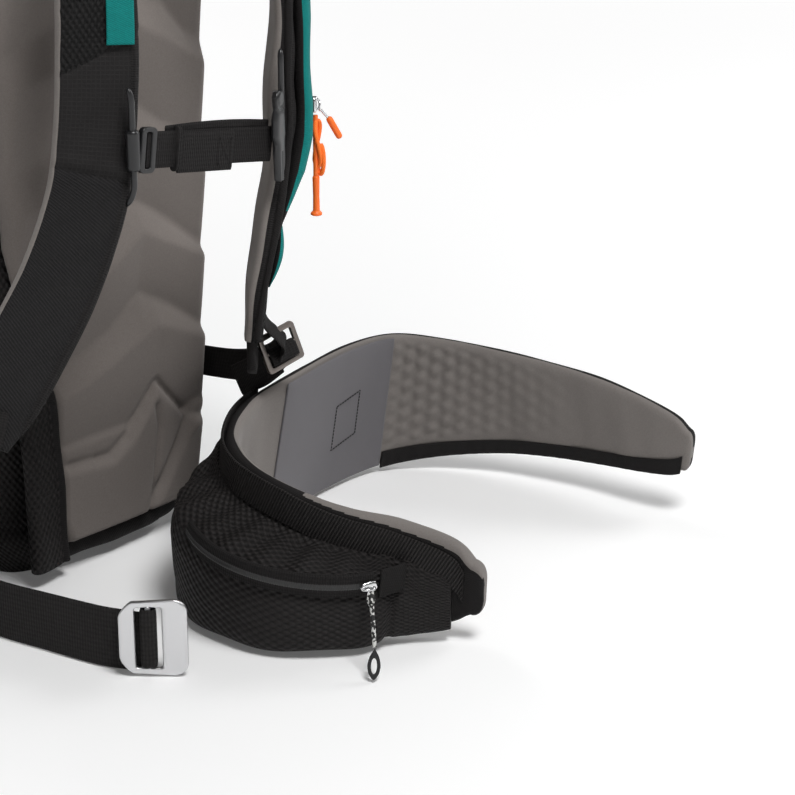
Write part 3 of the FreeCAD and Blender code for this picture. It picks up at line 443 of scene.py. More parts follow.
cover_path = through([(-78, -7, 14), (-81, -9, 60), (-82, -9, 100), (-86, -8, 150), (-94, -6, 200)], 90)
cover = band("corner_cover", cover_path, (1, 0.12, 0),
             np.interp(np.linspace(0, 1, 90), (0, 0.7, 1), (36, 36, 6)), 0, 12,
             [dobby, fine_cloth], "pack", 25, 6,
             relief=lambda u, x, f, z: 2.2 * np.exp(-((x - 13) / 3.5) ** 2) * (f > 0)
             - 1.5 * np.exp(-((x - 8.0) / 1.2) ** 2) * (f > 0)
             + 0.8 * np.sin(z * 0.09 + x * 0.1) * (f > 0),
             sign=-1, zone=lambda u, x, f, z: (x > 8).astype(int))
hem_path = through([(-60, 2, 19), (-30, -4, 19), (0, -6, 19), (30, -4, 19), (58, 2, 20)], 60)
hem = band("back_panel_hem", hem_path, (0, 0, 1), 18, -4, 8, fine_cloth, "pack", 13, 3,
           relief=lambda u, x, f, z: 0.5 * np.sin(u * 0.16) * (f > 0))
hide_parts("back_pad_hem")


# ----------------------------------------------------------------------------
# Inside the bag: a plastic frame sheet with alloy stays, and the airbag system, which is a steel
# gas cartridge screwed into the inflator and a folded airbag under the lid
# ----------------------------------------------------------------------------
def finish_of(material, slot, *names):
    """Gives CAD nodes a material. The slot argument is not used."""
    for name in names:
        nodes[name].data.materials.clear()
        nodes[name].data.materials.append(material)


def grained(name, colour, roughness, metallic=0.0, grain=0.0, scale=900, **sockets):
    """A smooth material with a fine uneven surface from noise in object space."""
    material, tree, principled = shader(name, colour, roughness, metallic, **sockets)
    place = tree.nodes.new("ShaderNodeTexCoord")
    noise = tree.nodes.new("ShaderNodeTexNoise")
    noise.inputs["Scale"].default_value = scale
    tree.links.new(place.outputs["Object"], noise.inputs["Vector"])
    bump = tree.nodes.new("ShaderNodeBump")
    bump.inputs["Distance"].default_value = grain
    tree.links.new(noise.outputs[0], bump.inputs["Height"])
    tree.links.new(bump.outputs[0], principled.inputs["Normal"])
    return material


plastic = grained("black_plastic", (0.012, 0.012, 0.013), 0.32, grain=0.00004)
finish_of(grained("sheet_plastic", (0.03, 0.03, 0.03), 0.5, grain=0.0001), "sheet_plastic", "frame_sheet")
finish_of(grained("stay_alloy", (0.6, 0.6, 0.62), 0.35, 1.0, 0.00005), "stay_metal", "frame_stays")
finish_of(grained("cartridge_paint", (0.62, 0.63, 0.64), 0.3, 0.3, 0.00002), "cartridge_paint", "cartridge")
finish_of(grained("inflator_alloy", (0.1, 0.1, 0.11), 0.4, 0.8, 0.00003), "inflator_metal", "inflator",
          "release_pin")
airbag_cloth = cloth("airbag_cloth", (0.55, 0.09, 0.01), "dobby", 0.001, 0.0001, 0.2, 0.6)
fold_path = through([(-84, 101, 505), (0, 101, 505), (84, 101, 505)], 100)
folded = band("airbag_folds", fold_path, (0, 1, 0),
              np.interp(np.arange(100), (0, 6, 93, 99), (84, 96, 96, 84)), -40, 40, airbag_cloth, "pack",
              33, 6,
              relief=lambda u, x, f, z: 2.0 * np.sin(x * 0.5) * np.sign(f) + 1.0 * np.sin(u * 0.12))
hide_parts("folded_airbag")


def tube(name, path, radius, material, body, around=12, side=(0.31, 0.52, 0.79)):
    """A round bar along a path in millimetres, its radius the same or given at each point."""
    path = np.asarray(path, float)
    along, side, face = frames(path, side)
    t = np.linspace(0, 2 * np.pi, around, endpoint=False)
    radius = np.broadcast_to(np.asarray(radius, float), len(path))[:, None, None]
    points = path[:, None] + radius * (side[:, None] * np.cos(t)[None, :, None]
                                       + face[:, None] * np.sin(t)[None, :, None])
    return surface(name, points * MM, material, body)


neck = tube("airbag_neck_hose", through([(-62, 100, 447), (-62, 100, 455), (-62, 100, 461)], 40),
            14 + 0.8 * np.sin(np.arange(40)), airbag_cloth, "pack", 24)
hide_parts("airbag_neck")


# ----------------------------------------------------------------------------
# Outside of the bag: a teal tool pocket, coil zips with metal sliders, webbing straps and loops
# ----------------------------------------------------------------------------
pocket_rows = through(((62, 84, 208), (90, 96, 232), (250, 100, 238), (400, 98, 230), (452, 84, 204)), 100)
outlines = []
for z, half, y_far in pocket_rows:
    outlines.append(ring(((half - 3, 150, z), (half, y_far - 28, z), (half - 14, y_far - 5, z),
                          (0, y_far, z), (14 - half, y_far - 5, z), (-half, y_far - 28, z),
                          (3 - half, 150, z)), 120))
outlines = np.array(outlines)
core = outlines.mean(1, keepdims=True)
ease = np.sqrt(np.clip(
    1 - (1 - np.clip(np.minimum(np.arange(100), 99 - np.arange(100)) / 9, 0.02, 1)) ** 2, 0, 1))
swell = 1.2 * np.sin(outlines[..., 2] * 0.05 + outlines[..., 0] * 0.04) * np.sin(outlines[..., 0] * 0.06)
outlines = core + (outlines - core) * (0.9 + 0.1 * ease)[:, None, None] + (0, 1, 0) * swell[..., None]
tool_pocket = surface("tool_pocket_cloth", outlines * MM, teal_cloth, "pack")
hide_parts("tool_pocket")


# The coil is a little lighter than the black tape: painted highlight standing in for the shine on the nylon
# coil.
coil_nylon = grained("coil_nylon", (0.016, 0.0155, 0.0155), 0.35, grain=0.00002)


def coil_zip(name, path, side, width, low, high, body, slot_node, sign=1.0, coil=2.0):
    """Woven tape with a raised coil down the middle: the coil's height is a bell across the tape
    times a sine along it, shifted by half a turn from one side to the other."""
    path = np.asarray(path, float)
    span = np.linalg.norm(np.diff(path, axis=0), axis=1).sum()
    steps = int(span / 0.4)
    place = np.linspace(0, len(path) - 1, steps)
    path = np.stack([np.interp(place, np.arange(len(path)), path[:, k]) for k in range(3)], 1)

    def teeth(u, x, f, z):
        turn = np.sin(2 * np.pi * u / 1.6 + np.pi * (x > 0))
        return (f > 0) * (1.3 * np.exp(-(x / coil) ** 4) * (0.62 + 0.38 * turn)
                          - 0.5 * np.exp(-((np.abs(x) - width / 2 + 1.6) / 0.5) ** 2))

    piece = band(name, path, side, width, low, high, [webbing, coil_nylon], body, 25, 10, teeth, sign,
                 lambda u, x, f, z: (f > 0) & (np.abs(x) < coil))
    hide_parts(slot_node)
    return piece


chrome = grained("slider_chrome", (0.72, 0.72, 0.73), 0.22, 1.0, 0.00001)


def slider(name, centre, along, face, body, node, metal=chrome, pull=14.0):
    """A zip slider: a lens-shaped body on the coil, a bridge over it and a flat pull hanging from
    the bridge."""
    centre, along, face = (np.asarray(value, float) for value in (centre, along, face))
    along, face = unit(along), unit(face - unit(along) * (face @ unit(along)))
    side = np.cross(along, face)
    t = np.linspace(-1, 1, 25)
    wide = 8.6 * (1 - 0.35 * (t * 0.5 + 0.5) ** 2) * np.sqrt(np.clip(1.02 - t ** 6, 0.02, 1))
    shell = band(name, centre + along * t[:, None] * 6, side, wide, -1.4, 1.9, metal, body, 13, 4,
                 lambda u, x, f, z: (f > 0) * 0.5 * np.exp(-(x / 2) ** 2),
                 sign=1.0 if np.cross(along, side) @ face > 0 else -1.0)
    arch = np.linspace(0, np.pi, 17)[:, None]
    tube(f"{name}_bridge", centre + along * 4.2 * np.cos(arch) + face * (1.6 + 3.0 * np.sin(arch)), 0.9,
         metal, body, 8, side)
    if pull:
        drop = np.linspace(0, 1, 21)[:, None]
        down = np.array((0, 0, -1.0))
        run = centre + face * (4.6 - 1.6 * drop) + down * drop * pull
        grip = band(f"{name}_pull", run, side, 3.4 + 1.6 * np.sin(drop[:, 0] * np.pi) ** 0.5, -0.7, 0.7,
                    metal, body, 11, 6)
    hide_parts(node)
    return shell


coil_zip("main_zip_tape", [(-141.8, 118, 210), (-142.6, 118, 330), (-141.8, 118, 450)], (0, 1, 0), 14,
         -1, 0.6, "pack", "main_zip", sign=1.0)
slider("main_zip_puller", (-144.4, 118, 430), (0, 0, 1), (-1, 0, 0), "main_zip_slider", "main_zip_slider")
coil_zip("tool_zip_tape", [(0, 237.6, 110), (0, 238.6, 250), (0, 237.0, 400)], (1, 0, 0), 14, -1, 0.6,
         "pack", "tool_zip", sign=-1.0)
slider("tool_zip_puller", (0, 240.6, 385), (0, 0, 1), (0, 1, 0), "tool_zip_slider", "tool_zip_slider")


def hugging(name, z, tall, proud, keep, material, sign=1.0, **more):
    """Webbing that follows the bag's outline where keep holds, a little proud of it."""
    outline = bag_ring(z, 400) / MM
    spot = unit((outline - outline.mean(0)) * (1, 1, 0))
    path = outline[keep(outline)]
    path = path + spot[keep(outline)] * proud
    start = np.argmax(np.r_[0, np.linalg.norm(np.diff(path, axis=0), axis=1)])
    if np.linalg.norm(path[start] - path[start - 1]) > 20:
        path = np.roll(path, -start, axis=0)
    return band(name, path, (0, 0, 1), tall, -0.4, 1.2, material, "pack", 13, 8, sign=sign, **more)


for level, z in (("low", 104), ("high", 472)):
    for name, turned in (("left", 1), ("right", -1)):
        strap = hugging(f"compression_{level}_{name}", z, 20, 0.9,
                        lambda p: (p[:, 0] * turned > 60) & (p[:, 1] > 30) & (p[:, 1] < 190), webbing)
        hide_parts(f"compression_straps_{level}")
burst = hugging("burst_zip_tape", 517, 12, 1.4, lambda p: p[:, 1] > 60, webbing,
                relief=lambda u, x, f, z: 0.9 * np.exp(-(x / 2) ** 4) * (0.6 + 0.4 * np.sin(u * 3.0))
                * (f > 0))
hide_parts("burst_zip")
for name, x in (("left", 60), ("right", -60)):
    t = np.linspace(-0.35 * np.pi, 1.1 * np.pi, 60)
    loop = np.stack([np.full(60, float(x)), 200 + 13.2 * np.sin(t), 46 + 13.2 * np.cos(t)], 1)
    axe = band(f"axe_loop_{name}", loop, (1, 0, 0), 16, -0.8, 0.8, webbing, "pack", 11, 8)
    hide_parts("axe_loops")
haul_path = through([(-34, -11, 560), (-34, -16, 580), (-26, -19, 594), (0, -21, 599), (26, -19, 594),
                     (34, -16, 580), (34, -11, 560)], 110)
haul = band("haul_loop_webbing", haul_path, (0, 1, 0.2), 20, -1.5, 1.5, webbing, "haul_loop", 15, 8)
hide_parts("haul_loop")


# ----------------------------------------------------------------------------
# Shoulder straps: black cloth over foam, lined in grey that wraps round the outer edge, with a
# mesh part over the shoulder set off by slanting seams and a bound edge
# ----------------------------------------------------------------------------
mesh_cloth = cloth("spacer_mesh", (0.0068, 0.0064, 0.0064), "dobby", 0.0042, 0.0012, 0.9, 0.7)
binding = cloth("edge_binding", (0.011, 0.010, 0.010), "ribs", 0.0016, 0.0003, 0.7, 0.85)
lower_twill = cloth("strap_twill", (0.009, 0.0083, 0.0088), "twill", 0.0022, 0.0003, 0.6, 0.75)
LEFT_STRAP = ((48, -30, 503, 0, 50), (56, -50, 524, 4, 52), (70, -78, 519, 14, 54),
              (84, -95, 490, 32, 56), (90, -100, 450, 44, 56), (92, -100, 412, 48, 56),
              (92, -100, 372, 48, 56), (92, -100, 334, 48, 56), (82, -100, 294, 48, 56),
              (69, -100, 250, 48, 56), (60, -100, 210, 46, 50), (56, -100, 176, 44, 34))
RIGHT_STRAP = ((-48, -30, 503, 180, 50), (-56, -50, 524, 178, 52), (-68, -78, 519, 172, 54),
               (-80, -95, 490, 162, 56), (-86, -100, 450, 155, 55), (-87, -100, 412, 151, 56),
               (-92, -100, 360, 150, 56), (-103, -100, 312, 150, 56), (-130, -100, 262, 150, 56),
               (-164, -100, 221, 150, 56), (-188, -100, 193, 150, 52), (-204, -100, 170, 150, 36))


def strap_run(rows, count):
    """A strap's middle line, level side vectors and widths, smoothly between its stations."""
    run = through(rows, count)
    yaw = np.radians(run[:, 3])
    return run[:, :3], np.stack([np.cos(yaw), np.sin(yaw), 0 * yaw], 1), run[:, 4]


def bell(value, centre, spread):
    """A smooth bump of height one about a value."""
    return np.exp(-((value - centre) / spread) ** 2)


def right_relief(u, x, f, z):
    """Bound edge, slanting seams over the shoulder, the step where the lower cloth starts, and
    slight creases."""
    top, lower = 408.5 - 0.446 * x, 329.5 + 0.27 * x
    rise = 1.3 * bell(x, -24.5, 2.2) - 0.9 * bell(x, -20.6, 0.8) + 0.7 * bell(x, 26, 1.6)
    rise += -1.3 * bell(z, top, 1.8) + 0.9 * bell(z, top + 5, 3) - 1.1 * bell(z, 452 - 0.5 * x, 1.6)
    rise += -1.6 * bell(z, lower, 2.0) + 1.4 * bell(z, lower + 6, 4) * (0.7 + 0.3 * np.sin(x * 0.5))
    rise += 0.5 * np.sin(0.16 * z + 0.09 * x) * np.sin(0.05 * x + 0.03 * z)
    return rise * (f > 0.1)


def right_zone(u, x, f, z):
    """Lining behind and round the outer edge, mesh at the top, twill below, binding at the edge."""
    number = np.where(z > 408.5 - 0.446 * x, 1, np.where(z < 329.5 + 0.27 * x, 2, 0))
    number = np.where(x < -21, 3, number)
    return np.where((f < 0.1) & (x > -26) | (f < 0.72) & (x > 20), 4, number)


path, side, width = strap_run(RIGHT_STRAP, 320)
right_pad = band("shoulder_pad_right", path, side, width, -8, 6,
                 [ripstop, mesh_cloth, lower_twill, binding, lining], "pack", 41, 10, right_relief, -1.0,
                 right_zone)
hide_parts("strap_pad_right", "strap_linings")


def left_relief(u, x, f, z):
    """Rolled edge and slight creases on the other strap."""
    rise = 0.8 * bell(np.abs(x), 25.5, 1.8) + 0.5 * np.sin(0.14 * z + 0.1 * x)
    return rise * (f > 0.1) + 0.4 * np.sin(0.11 * z) * (f < -0.1)


def left_zone(u, x, f, z):
    """Lining behind, mesh and binding in front."""
    return np.where(f < -0.35, 2, np.where(np.abs(x) > 22, 1, 0))


path, side, width = strap_run(LEFT_STRAP, 320)
lining_swell = -8 - 7 * bell(path[:, 2], 348, 34) * (path[:, 1] < -90)
left_pad = band("shoulder_pad_left", path, side, width, lining_swell, 6, [mesh_cloth, binding, lining],
                "pack", 41, 10, left_relief, 1.0, left_zone)
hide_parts("strap_pad_left", "strap_linings")

# a teal webbing tab sewn across the seam of the right strap
path, side, width = strap_run(RIGHT_STRAP, 320)
inside = (path[:, 2] > 414) & (path[:, 2] < 446) & (path[:, 1] < -90)
tab_path = path[inside] - side[inside] * 13.5
tab = band("strap_tab", tab_path, side[inside], 19, 7.2, 9.0, teal_cloth, "pack", 15, 10,
           lambda u, x, f, z: -0.45 * (f > 0) * (bell(np.abs(x), 6.5, 0.6) * (np.abs(u - 14) < 8)
                                              + bell(np.abs(u - 14), 8, 0.6) * (np.abs(x) < 6.5)), -1.0)


# ----------------------------------------------------------------------------
# Trigger garage on the left strap: a teal sleeve that narrows to a point at its foot, closed by a
# black zip whose slider carries an orange cord and toggle
# ----------------------------------------------------------------------------
path, side, width = strap_run(LEFT_STRAP, 320)
reach = (path[:, 1] < -88) & (path[:, 2] < 500) & (path[:, 2] > 250)
sleeve_path, sleeve_side = path[reach], side[reach]
level = sleeve_path[:, 2]
bulge = np.interp(level, (250, 262, 280, 300, 324, 336, 410, 440, 500),
                  (7.4, 8.6, 14.5, 19.5, 20.0, 18.9, 18.9, 18, 19))
garage = band("garage_sleeve", sleeve_path, sleeve_side, 47, 5.2, bulge, [teal_cloth, fine_cloth],
              "pack", 31, 4, lambda u, x, f, z: (f > 0) * (0.7 * np.sin(0.07 * z) * np.sin(0.1 * x)
                                                           - 0.8 * bell(x, 12, 1)),
              1.0, lambda u, x, f, z: (f > 0.95) | (z < 276) | (f < 0))
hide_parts("trigger_garage")
lens = (path[:, 1] < -99) & (path[:, 2] > 216) & (path[:, 2] < 266)
lens_level = path[lens][:, 2]
belly = 4.4 * np.sin(np.pi * np.clip((lens_level - 214) / 54, 0, 1))
lower_patch = band("garage_lower_patch", path[lens], side[lens],
                   45 * np.sin(np.pi * (lens_level - 206) / 72) ** 0.5, 5.6, 6.6 + 1.6 * belly,
                   [teal_cloth, fine_cloth], "pack", 25, 4, zone=lambda u, x, f, z: (f > 0.95)
                   | (f < 0))
# a loose fold of black mesh along the near edge of this strap
fold = (path[:, 1] < -90) & (path[:, 2] < 500) & (path[:, 2] > 182)
fold_level = path[fold][:, 2]
near = path[fold] - side[fold] * 27.5
fold_face = frames(path[fold], side[fold])[2]
seam_roll = tube("strap_edge_roll_left", near + fold_face * (2 + 1.6 * np.sin(0.03 * fold_level))[:, None],
                 2.6 + 0.5 * np.sin(0.05 * fold_level), fine_cloth, "pack", 14, fold_face[0])

UP = np.array((0, 0, 1.0))
face_48 = np.array((math.sin(math.radians(48)), -math.cos(math.radians(48)), 0))
side_48 = np.array((math.cos(math.radians(48)), math.sin(math.radians(48)), 0))
zip_line = np.array((92, -100, 0)) + face_48 * 19 + side_48 * 6
coil_zip("garage_zip_tape", [zip_line + (0, 0, z) for z in (336, 360, 385, 410)], side_48, 10, 0.0, 1.0,
         "pack", "garage_zip", 1.0, 1.8)
seat = zip_line + face_48 * 1.2
slider("garage_zip_puller", seat + face_48 * 1.6 + (0, 0, 342), (0, 0, 1), face_48, "garage_slider",
       "garage_slider", pull=0)
ring_turn = np.linspace(0.1, 2 * np.pi - 0.1, 40)
link_centre = seat + face_48 * 6.0 + (0, 0, 341)
tube("garage_link", link_centre[None] + side_48 * 2.4 * np.sin(ring_turn)[:, None]
     + UP * 3.6 * np.cos(ring_turn)[:, None], 0.75, chrome, "garage_slider", 10)
finger = np.linspace(0, 1, 14)[:, None]
tube("garage_finger_pull",
     link_centre + (0, 0, -2) + finger * (face_48 * 7.4 + side_48 * 2.0 + (0, 0, -9.0)), 1.0, chrome,
     "garage_pull", 10)

orange = grained("orange_rubber", (0.95, 0.16, 0.012), 0.45, grain=0.00003, Subsurface_Weight=0.05)
braid_material, braid_tree, braid_shader = shader("orange_braid", (0.95, 0.18, 0.015), 0.7)
weave(braid_tree, braid_shader, "dobby", 0.0016, 0.0002, 0.25, (0.9, 0.17, 0.015), 0.08)
cord_foot = seat + face_48 * 2.8
cord_points = [cord_foot + (0, 0, 334), cord_foot + (0, 0, 311), cord_foot + (0, 0, 288)]


def cord_curve(name, points, radius, material, body):
    """A round cord: one open spline through its route, bevelled to its thickness."""
    data = bpy.data.curves.new(name, "CURVE")
    data.dimensions = "3D"
    data.bevel_depth = radius * MM
    data.bevel_resolution = 4
    data.resolution_u = 12
    data.use_fill_caps = True
    spline = data.splines.new("NURBS")
    spline.points.add(len(points) - 1)
    for spot, point in zip(spline.points, points):
        spot.co = (*(np.asarray(point) * MM), 1)
    spline.order_u = 3
    spline.use_endpoint_u = True
    data.materials.append(material)
    piece = bpy.data.objects.new(name, data)
    scene.collection.objects.link(piece)
    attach(piece, body)
    return piece


orange_cord = cord_curve("garage_pull_line", cord_points, 2.0, orange, "garage_pull")
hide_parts("garage_pull_cord")
t = np.linspace(0.15, 2 * np.pi - 0.15, 70)[:, None]
knot = tube("orange_knot_loop", cord_foot + side_48 * (2.6 * np.sin(t))
            + face_48 * (1.4 + 2.0 * np.sin(2 * t)) + UP * (313 + 17 * np.cos(t)), 1.7, braid_material,
            "garage_pull", 14)
second = tube("orange_second_loop", cord_foot + side_48 * (-2.0 * np.sin(t))
              + face_48 * (3.4 + 2.2 * np.sin(t)) + UP * (301 + 11 * np.cos(t)), 1.7, braid_material,
              "garage_pull", 14)
t = np.linspace(0, 1, 50)
sleeve_start = link_centre + face_48 * 6.4 + side_48 * 1.5 + np.array((0, 0, -9.0))
sleeve = tube("orange_pull_sleeve", sleeve_start + t[:, None] * (face_48 * 9.0 + side_48 * 2.0
                                                                 + (0, 0, -16.5)),
              2.5 * np.sqrt(np.clip(1 - (2 * t - 1) ** 12, 0.15, 1)), orange, "garage_pull", 18)
toggle_profile = np.interp(t, (0, 0.03, 0.5, 0.86, 0.92, 0.97, 1), (2.2, 2.7, 2.4, 2.6, 4.3, 4.4, 1.0))
toggle = tube("orange_toggle", cord_foot + UP * (288.6 - 30.4 * t[:, None]), toggle_profile, orange,
              "garage_pull", 22)
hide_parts("garage_toggle")

grip_red = grained("grip_red", (0.5, 0.01, 0.01), 0.4, grain=0.00003)
grip_line = np.array((92, -100, 0)) + face_48 * 12.5
t = np.linspace(0, 1, 80)
grip = tube("trigger_grip_handle", grip_line + UP * (352.5 + 55 * t[:, None]),
            4.2 - 0.5 * np.cos(t * np.pi * 2 * 6) * (t > 0.1) * (t < 0.9) - 0.6 * (t < 0.03), grip_red,
            "trigger", 24)
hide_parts("trigger_grip")
finish_of(grained("cable_steel", (0.4, 0.4, 0.42), 0.35, 1.0, 0.00005, 3000), "inflator_metal",
          "trigger_cable")


# ----------------------------------------------------------------------------
# Harness webbing: load lifters over the shoulders, and the lower webbing from the bag's corners
# through satin metal ladder locks, folded back with a stitched tail
# ----------------------------------------------------------------------------
satin = grained("lock_satin", (0.22, 0.195, 0.18), 0.38, 1.0, 0.00002)
for name, turned in (("left", 1), ("right", -1)):
    lifter = band(f"load_lifter_{name}",
                  through([(turned * 62, -58, 533), (turned * 62, -34, 543.5), (turned * 62, -6, 556),
                           (turned * 62, 16, 566)], 80), (1, 0, 0), 20, -0.8, 0.8, webbing, "pack", 13,
                  8, lambda u, x, f, z: 0.15 * np.sin(u * 0.2))
    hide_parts("load_lifters")
LOW_PATHS = (("left", [(104, 14, 122), (103, -30, 127), (97, -62, 136), (88, -88, 148),
                       (82, -101, 158)]),
             ("right", [(-112, 24, 112), (-150, -20, 118), (-190, -62, 124), (-212, -86, 132),
                        (-220, -97, 138)]))
for name, route in LOW_PATHS:
    low_web = band(f"lower_webbing_{name}", through(route, 120), (0, 0.1, 1), 25, -0.8, 0.8, webbing,
                   "pack", 15, 8, lambda u, x, f, z: 0.3 * np.sin(u * 0.07 + 1))
    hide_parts("lower_webbings")


def rounded_ring(half_x, half_y, corner, count=96):
    """Points round a rectangle with quarter-circle corners."""
    t = np.linspace(0, 2 * np.pi, count, endpoint=False) + np.pi / count
    direction = np.stack([np.cos(t), np.sin(t)], 1)
    return np.sign(direction) * (np.array((half_x, half_y)) - corner) + corner * direction


def window_plate(name, centre, x_axis, z_axis, outer, inner, thick, edge, material, body):
    """A flat plate with one window: a loop of rounded rectangles from the outer rim over the
    face to the window's rim and back."""
    centre, x_axis, z_axis = (np.asarray(value, float) for value in (centre, x_axis, z_axis))
    z_axis = unit(z_axis)
    x_axis = unit(x_axis - z_axis * (x_axis @ z_axis))
    y_axis = np.cross(z_axis, x_axis)
    half = thick / 2
    loops = []
    for share, height in ((0, -half + edge), (0, half - edge), (0.04, half), (0.2, half + 0.1),
                          (0.8, half + 0.1), (0.96, half), (1, half - edge), (1, -half + edge),
                          (0.96, -half), (0.04, -half)):
        flat = outer * (1 - share) + inner * share
        loops.append(centre + flat[:, :1] * x_axis + flat[:, 1:] * y_axis + height * z_axis)
    return surface(name, np.array(loops).transpose(1, 0, 2) * MM, material, body, torus=True)


LOCKS = (("left", (79, -104, 163), (0.25, 0, -1), (-0.2, -0.95, 0.2), 1),
         ("right", (-222, -100, 143), (-0.5, 0, -1), (-0.6, -0.8, 0.1), -1))
for name, centre, along, outward, turned in LOCKS:
    lock = window_plate(f"ladder_lock_frame_{name}", centre, along, outward, rounded_ring(15, 17, 3),
                        rounded_ring(11, 13, 1.5), 3.2, 0.8, satin, f"ladder_lock_{name}")
    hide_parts(f"ladder_lock_{name}")
    centre, outward = np.array(centre, float), unit(np.array(outward, float))
    along = unit(np.array(along, float) - outward * (np.array(along, float) @ outward))
    bar_way = np.cross(outward, along)
    t = np.linspace(-1, 1, 20)[:, None]
    tube(f"ladder_lock_bar_{name}", centre + bar_way * 13.6 * t, 1.7, satin, f"ladder_lock_{name}", 14,
         outward)
    turn = np.linspace(-0.62 * np.pi, 0.62 * np.pi, 60)[:, None]
    wrap = centre + along * (5.2 - 9.6 * np.cos(turn) * 0.9 + 1.5) + outward * (3.6 * np.sin(turn) - 0.4)
    folded_web = band(f"lock_webbing_{name}", wrap, bar_way, 25, -0.8, 0.8, webbing,
                      f"ladder_lock_{name}", 13, 8)
foot_left = band("strap_foot_tab_left",
                 through([(59, -101, 200), (64, -104, 186), (72, -107, 176), (78, -108, 168),
                          (80, -105, 160)], 60), (0.74, 0.6, 0), 25, -1.2, 1.2, webbing, "pack", 13, 8)
foot_right = band("strap_foot_tab_right",
                  through([(-198, -103, 192), (-205, -106, 180), (-213, -107, 166), (-219, -106, 156),
                           (-222, -103, 149)], 60), (-0.87, 0.5, 0), 25, -1.2, 1.2, webbing, "pack", 13,
                  8)
foot_tail = band("strap_foot_tail_left",
                 through([(56, -97, 180), (54, -99, 168), (51, -102, 158), (48, -104, 152)], 40),
                 (0.74, 0.6, 0), np.interp(np.arange(40), (0, 30, 39), (30, 26, 15)), -3.5, 3.5,
                 fine_cloth, "pack", 15, 5)
tail_left = band("webbing_tail_left",
                 through([(86, -92, 150), (84, -78, 138), (84, -64, 130), (84, -54, 124)], 60),
                 (0, 0.3, 1), 25, -1.4, 1.4, webbing, "pack", 13, 8,
                 lambda u, x, f, z: 0.6 * bell(u, 50, 3) * np.sign(f))


# ----------------------------------------------------------------------------
# Sternum strap: black webbing with an elastic keeper, a ladder that slides on a rail at the right
# strap and a release hook on a rail at the left
# ----------------------------------------------------------------------------
def level_vector(yaw):
    """A level unit vector at an angle from +X."""
    return np.array((math.cos(math.radians(yaw)), math.sin(math.radians(yaw)), 0))


right_rail = np.array((-96, -100, 0)) - level_vector(150) * 25 + level_vector(240) * 12.4
left_rail = np.array((90, -100, 0)) - level_vector(48) * 37 - level_vector(-42) * 4
for name, axis, low, high in (("right", right_rail, 308, 388), ("left", left_rail, 302, 392)):
    z = np.linspace(low, high, 60)
    inward = level_vector(150) * 5 - level_vector(240) * 3 if name == "right" else level_vector(48) * 5
    sunk = np.clip(np.maximum(low + 16 - z, z - high + 10) / 16, 0, 1) ** 2
    rail = tube(f"sternum_rail_{name}", axis + UP * z[:, None] + inward * sunk[:, None],
                2.2 * np.sqrt(np.clip(1 - ((z - (low + high) / 2) / (high - low) * 2) ** 20, 0.1, 1)),
                plastic, "pack", 14)
    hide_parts("sternum_rails")
right_end = right_rail + (0, 0, 346)
left_end = left_rail + (0, 0, 325)
across_web = unit(left_end - right_end)
web_face = unit(np.cross(across_web, UP))
web_up = unit(UP - across_web * across_web[2])
z = np.linspace(-13.5, 13.5, 50)
clip = tube("sternum_clip_sleeve", right_end + UP * z[:, None], 4.7 - 0.7 * (np.abs(z) > 12.6), plastic,
            "sternum_strap", 24)
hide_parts("sternum_clip")
ladder = window_plate("sternum_ladder_frame", right_end + across_web * 12.5, across_web, web_face,
                      rounded_ring(7, 15.5, 4), rounded_ring(2.6, 12.4, 1.2), 4.2, 1.0, plastic,
                      "sternum_strap")
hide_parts("sternum_ladder")
for step in (-8, 0, 8):
    spot = right_end + across_web * 6.8 + web_up * step
    tooth = tube(f"ladder_tooth_{step + 8}", spot - web_up * 2.4 + np.linspace(0, 1, 9)[:, None]
                 * (web_up * 4.8 + across_web * 3.2), 1.2, plastic, "sternum_strap", 10)
web_start, web_stop = right_end + across_web * 12, left_end - across_web * 12


def along_chest(share):
    """Places on the chest strap's line: 0 at the clip on the right rail, 1 at the hook's end."""
    return web_start + (web_stop - web_start) * share


t = np.linspace(0, 1, 160)[:, None]
chest_web = band("sternum_strap_webbing", along_chest(t) + web_face * (0.8 * np.sin(t * 7)),
                 web_up, 25, -0.8, 0.8, webbing, "sternum_strap", 17, 8)
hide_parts("sternum_webbing")
behind = band("sternum_strap_back_layer", along_chest(0.16 + 0.82 * t) - web_face * 2.4
              + web_up * (4.5 + 2.5 * np.sin(t * 2.6)), web_up, 22, -0.8, 0.8, webbing, "sternum_strap",
              15, 8)


def tail_relief(u, x, f, z):
    """The folded tail's box stitch with its cross."""
    along, across = np.abs(u - 0.84 * 52), np.abs(x)
    box = 0.5 * bell(along, 6, 0.9) * (across < 9) + 0.5 * bell(across, 9, 0.9) * (along < 6)
    return (f > 0) * (box + 0.5 * bell(along * 1.5, across, 1.0) * (along < 6))


keeper_side = 1.0 if np.cross(across_web, web_up) @ web_face > 0 else -1.0
keeper = band("sternum_keeper_fold", along_chest(0.23 + 0.43 * t) - web_up * 2.5, web_up,
              28, 1.0, 3.4, webbing, "sternum_strap", 33, 10, tail_relief, keeper_side)
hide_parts("sternum_keeper")
loop = band("sternum_keeper_loop", along_chest(0.215 + 0.03 * t), web_up, 31, -3.6, 4.2,
            webbing, "sternum_strap", 17, 8)
hook_path = through([left_end + (0, 0, z) for z in (38, 30, 14, 2, -12, -26)], 90)
hook_turn = unit(across_web * 0.75 - web_face * 0.3)
hook_width = np.interp(np.linspace(0, 1, 90), (0, 0.1, 0.22, 0.34, 0.52, 0.62, 0.75, 1),
                       (6, 14, 12, 17, 19, 12, 11, 7))
hook_path = hook_path - across_web * 9 + web_face * 5
hook = band("sternum_release_hook", hook_path, hook_turn, hook_width, -3.2, 3.2,
            plastic, "sternum_strap", 21, 4,
            lambda u, x, f, z: -1.2 * bell(z, 352, 2.2) * f
            - 0.9 * bell(x, 0, 1.6) * (z < 322) * np.sign(f), 1.0)
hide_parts("sternum_hook")
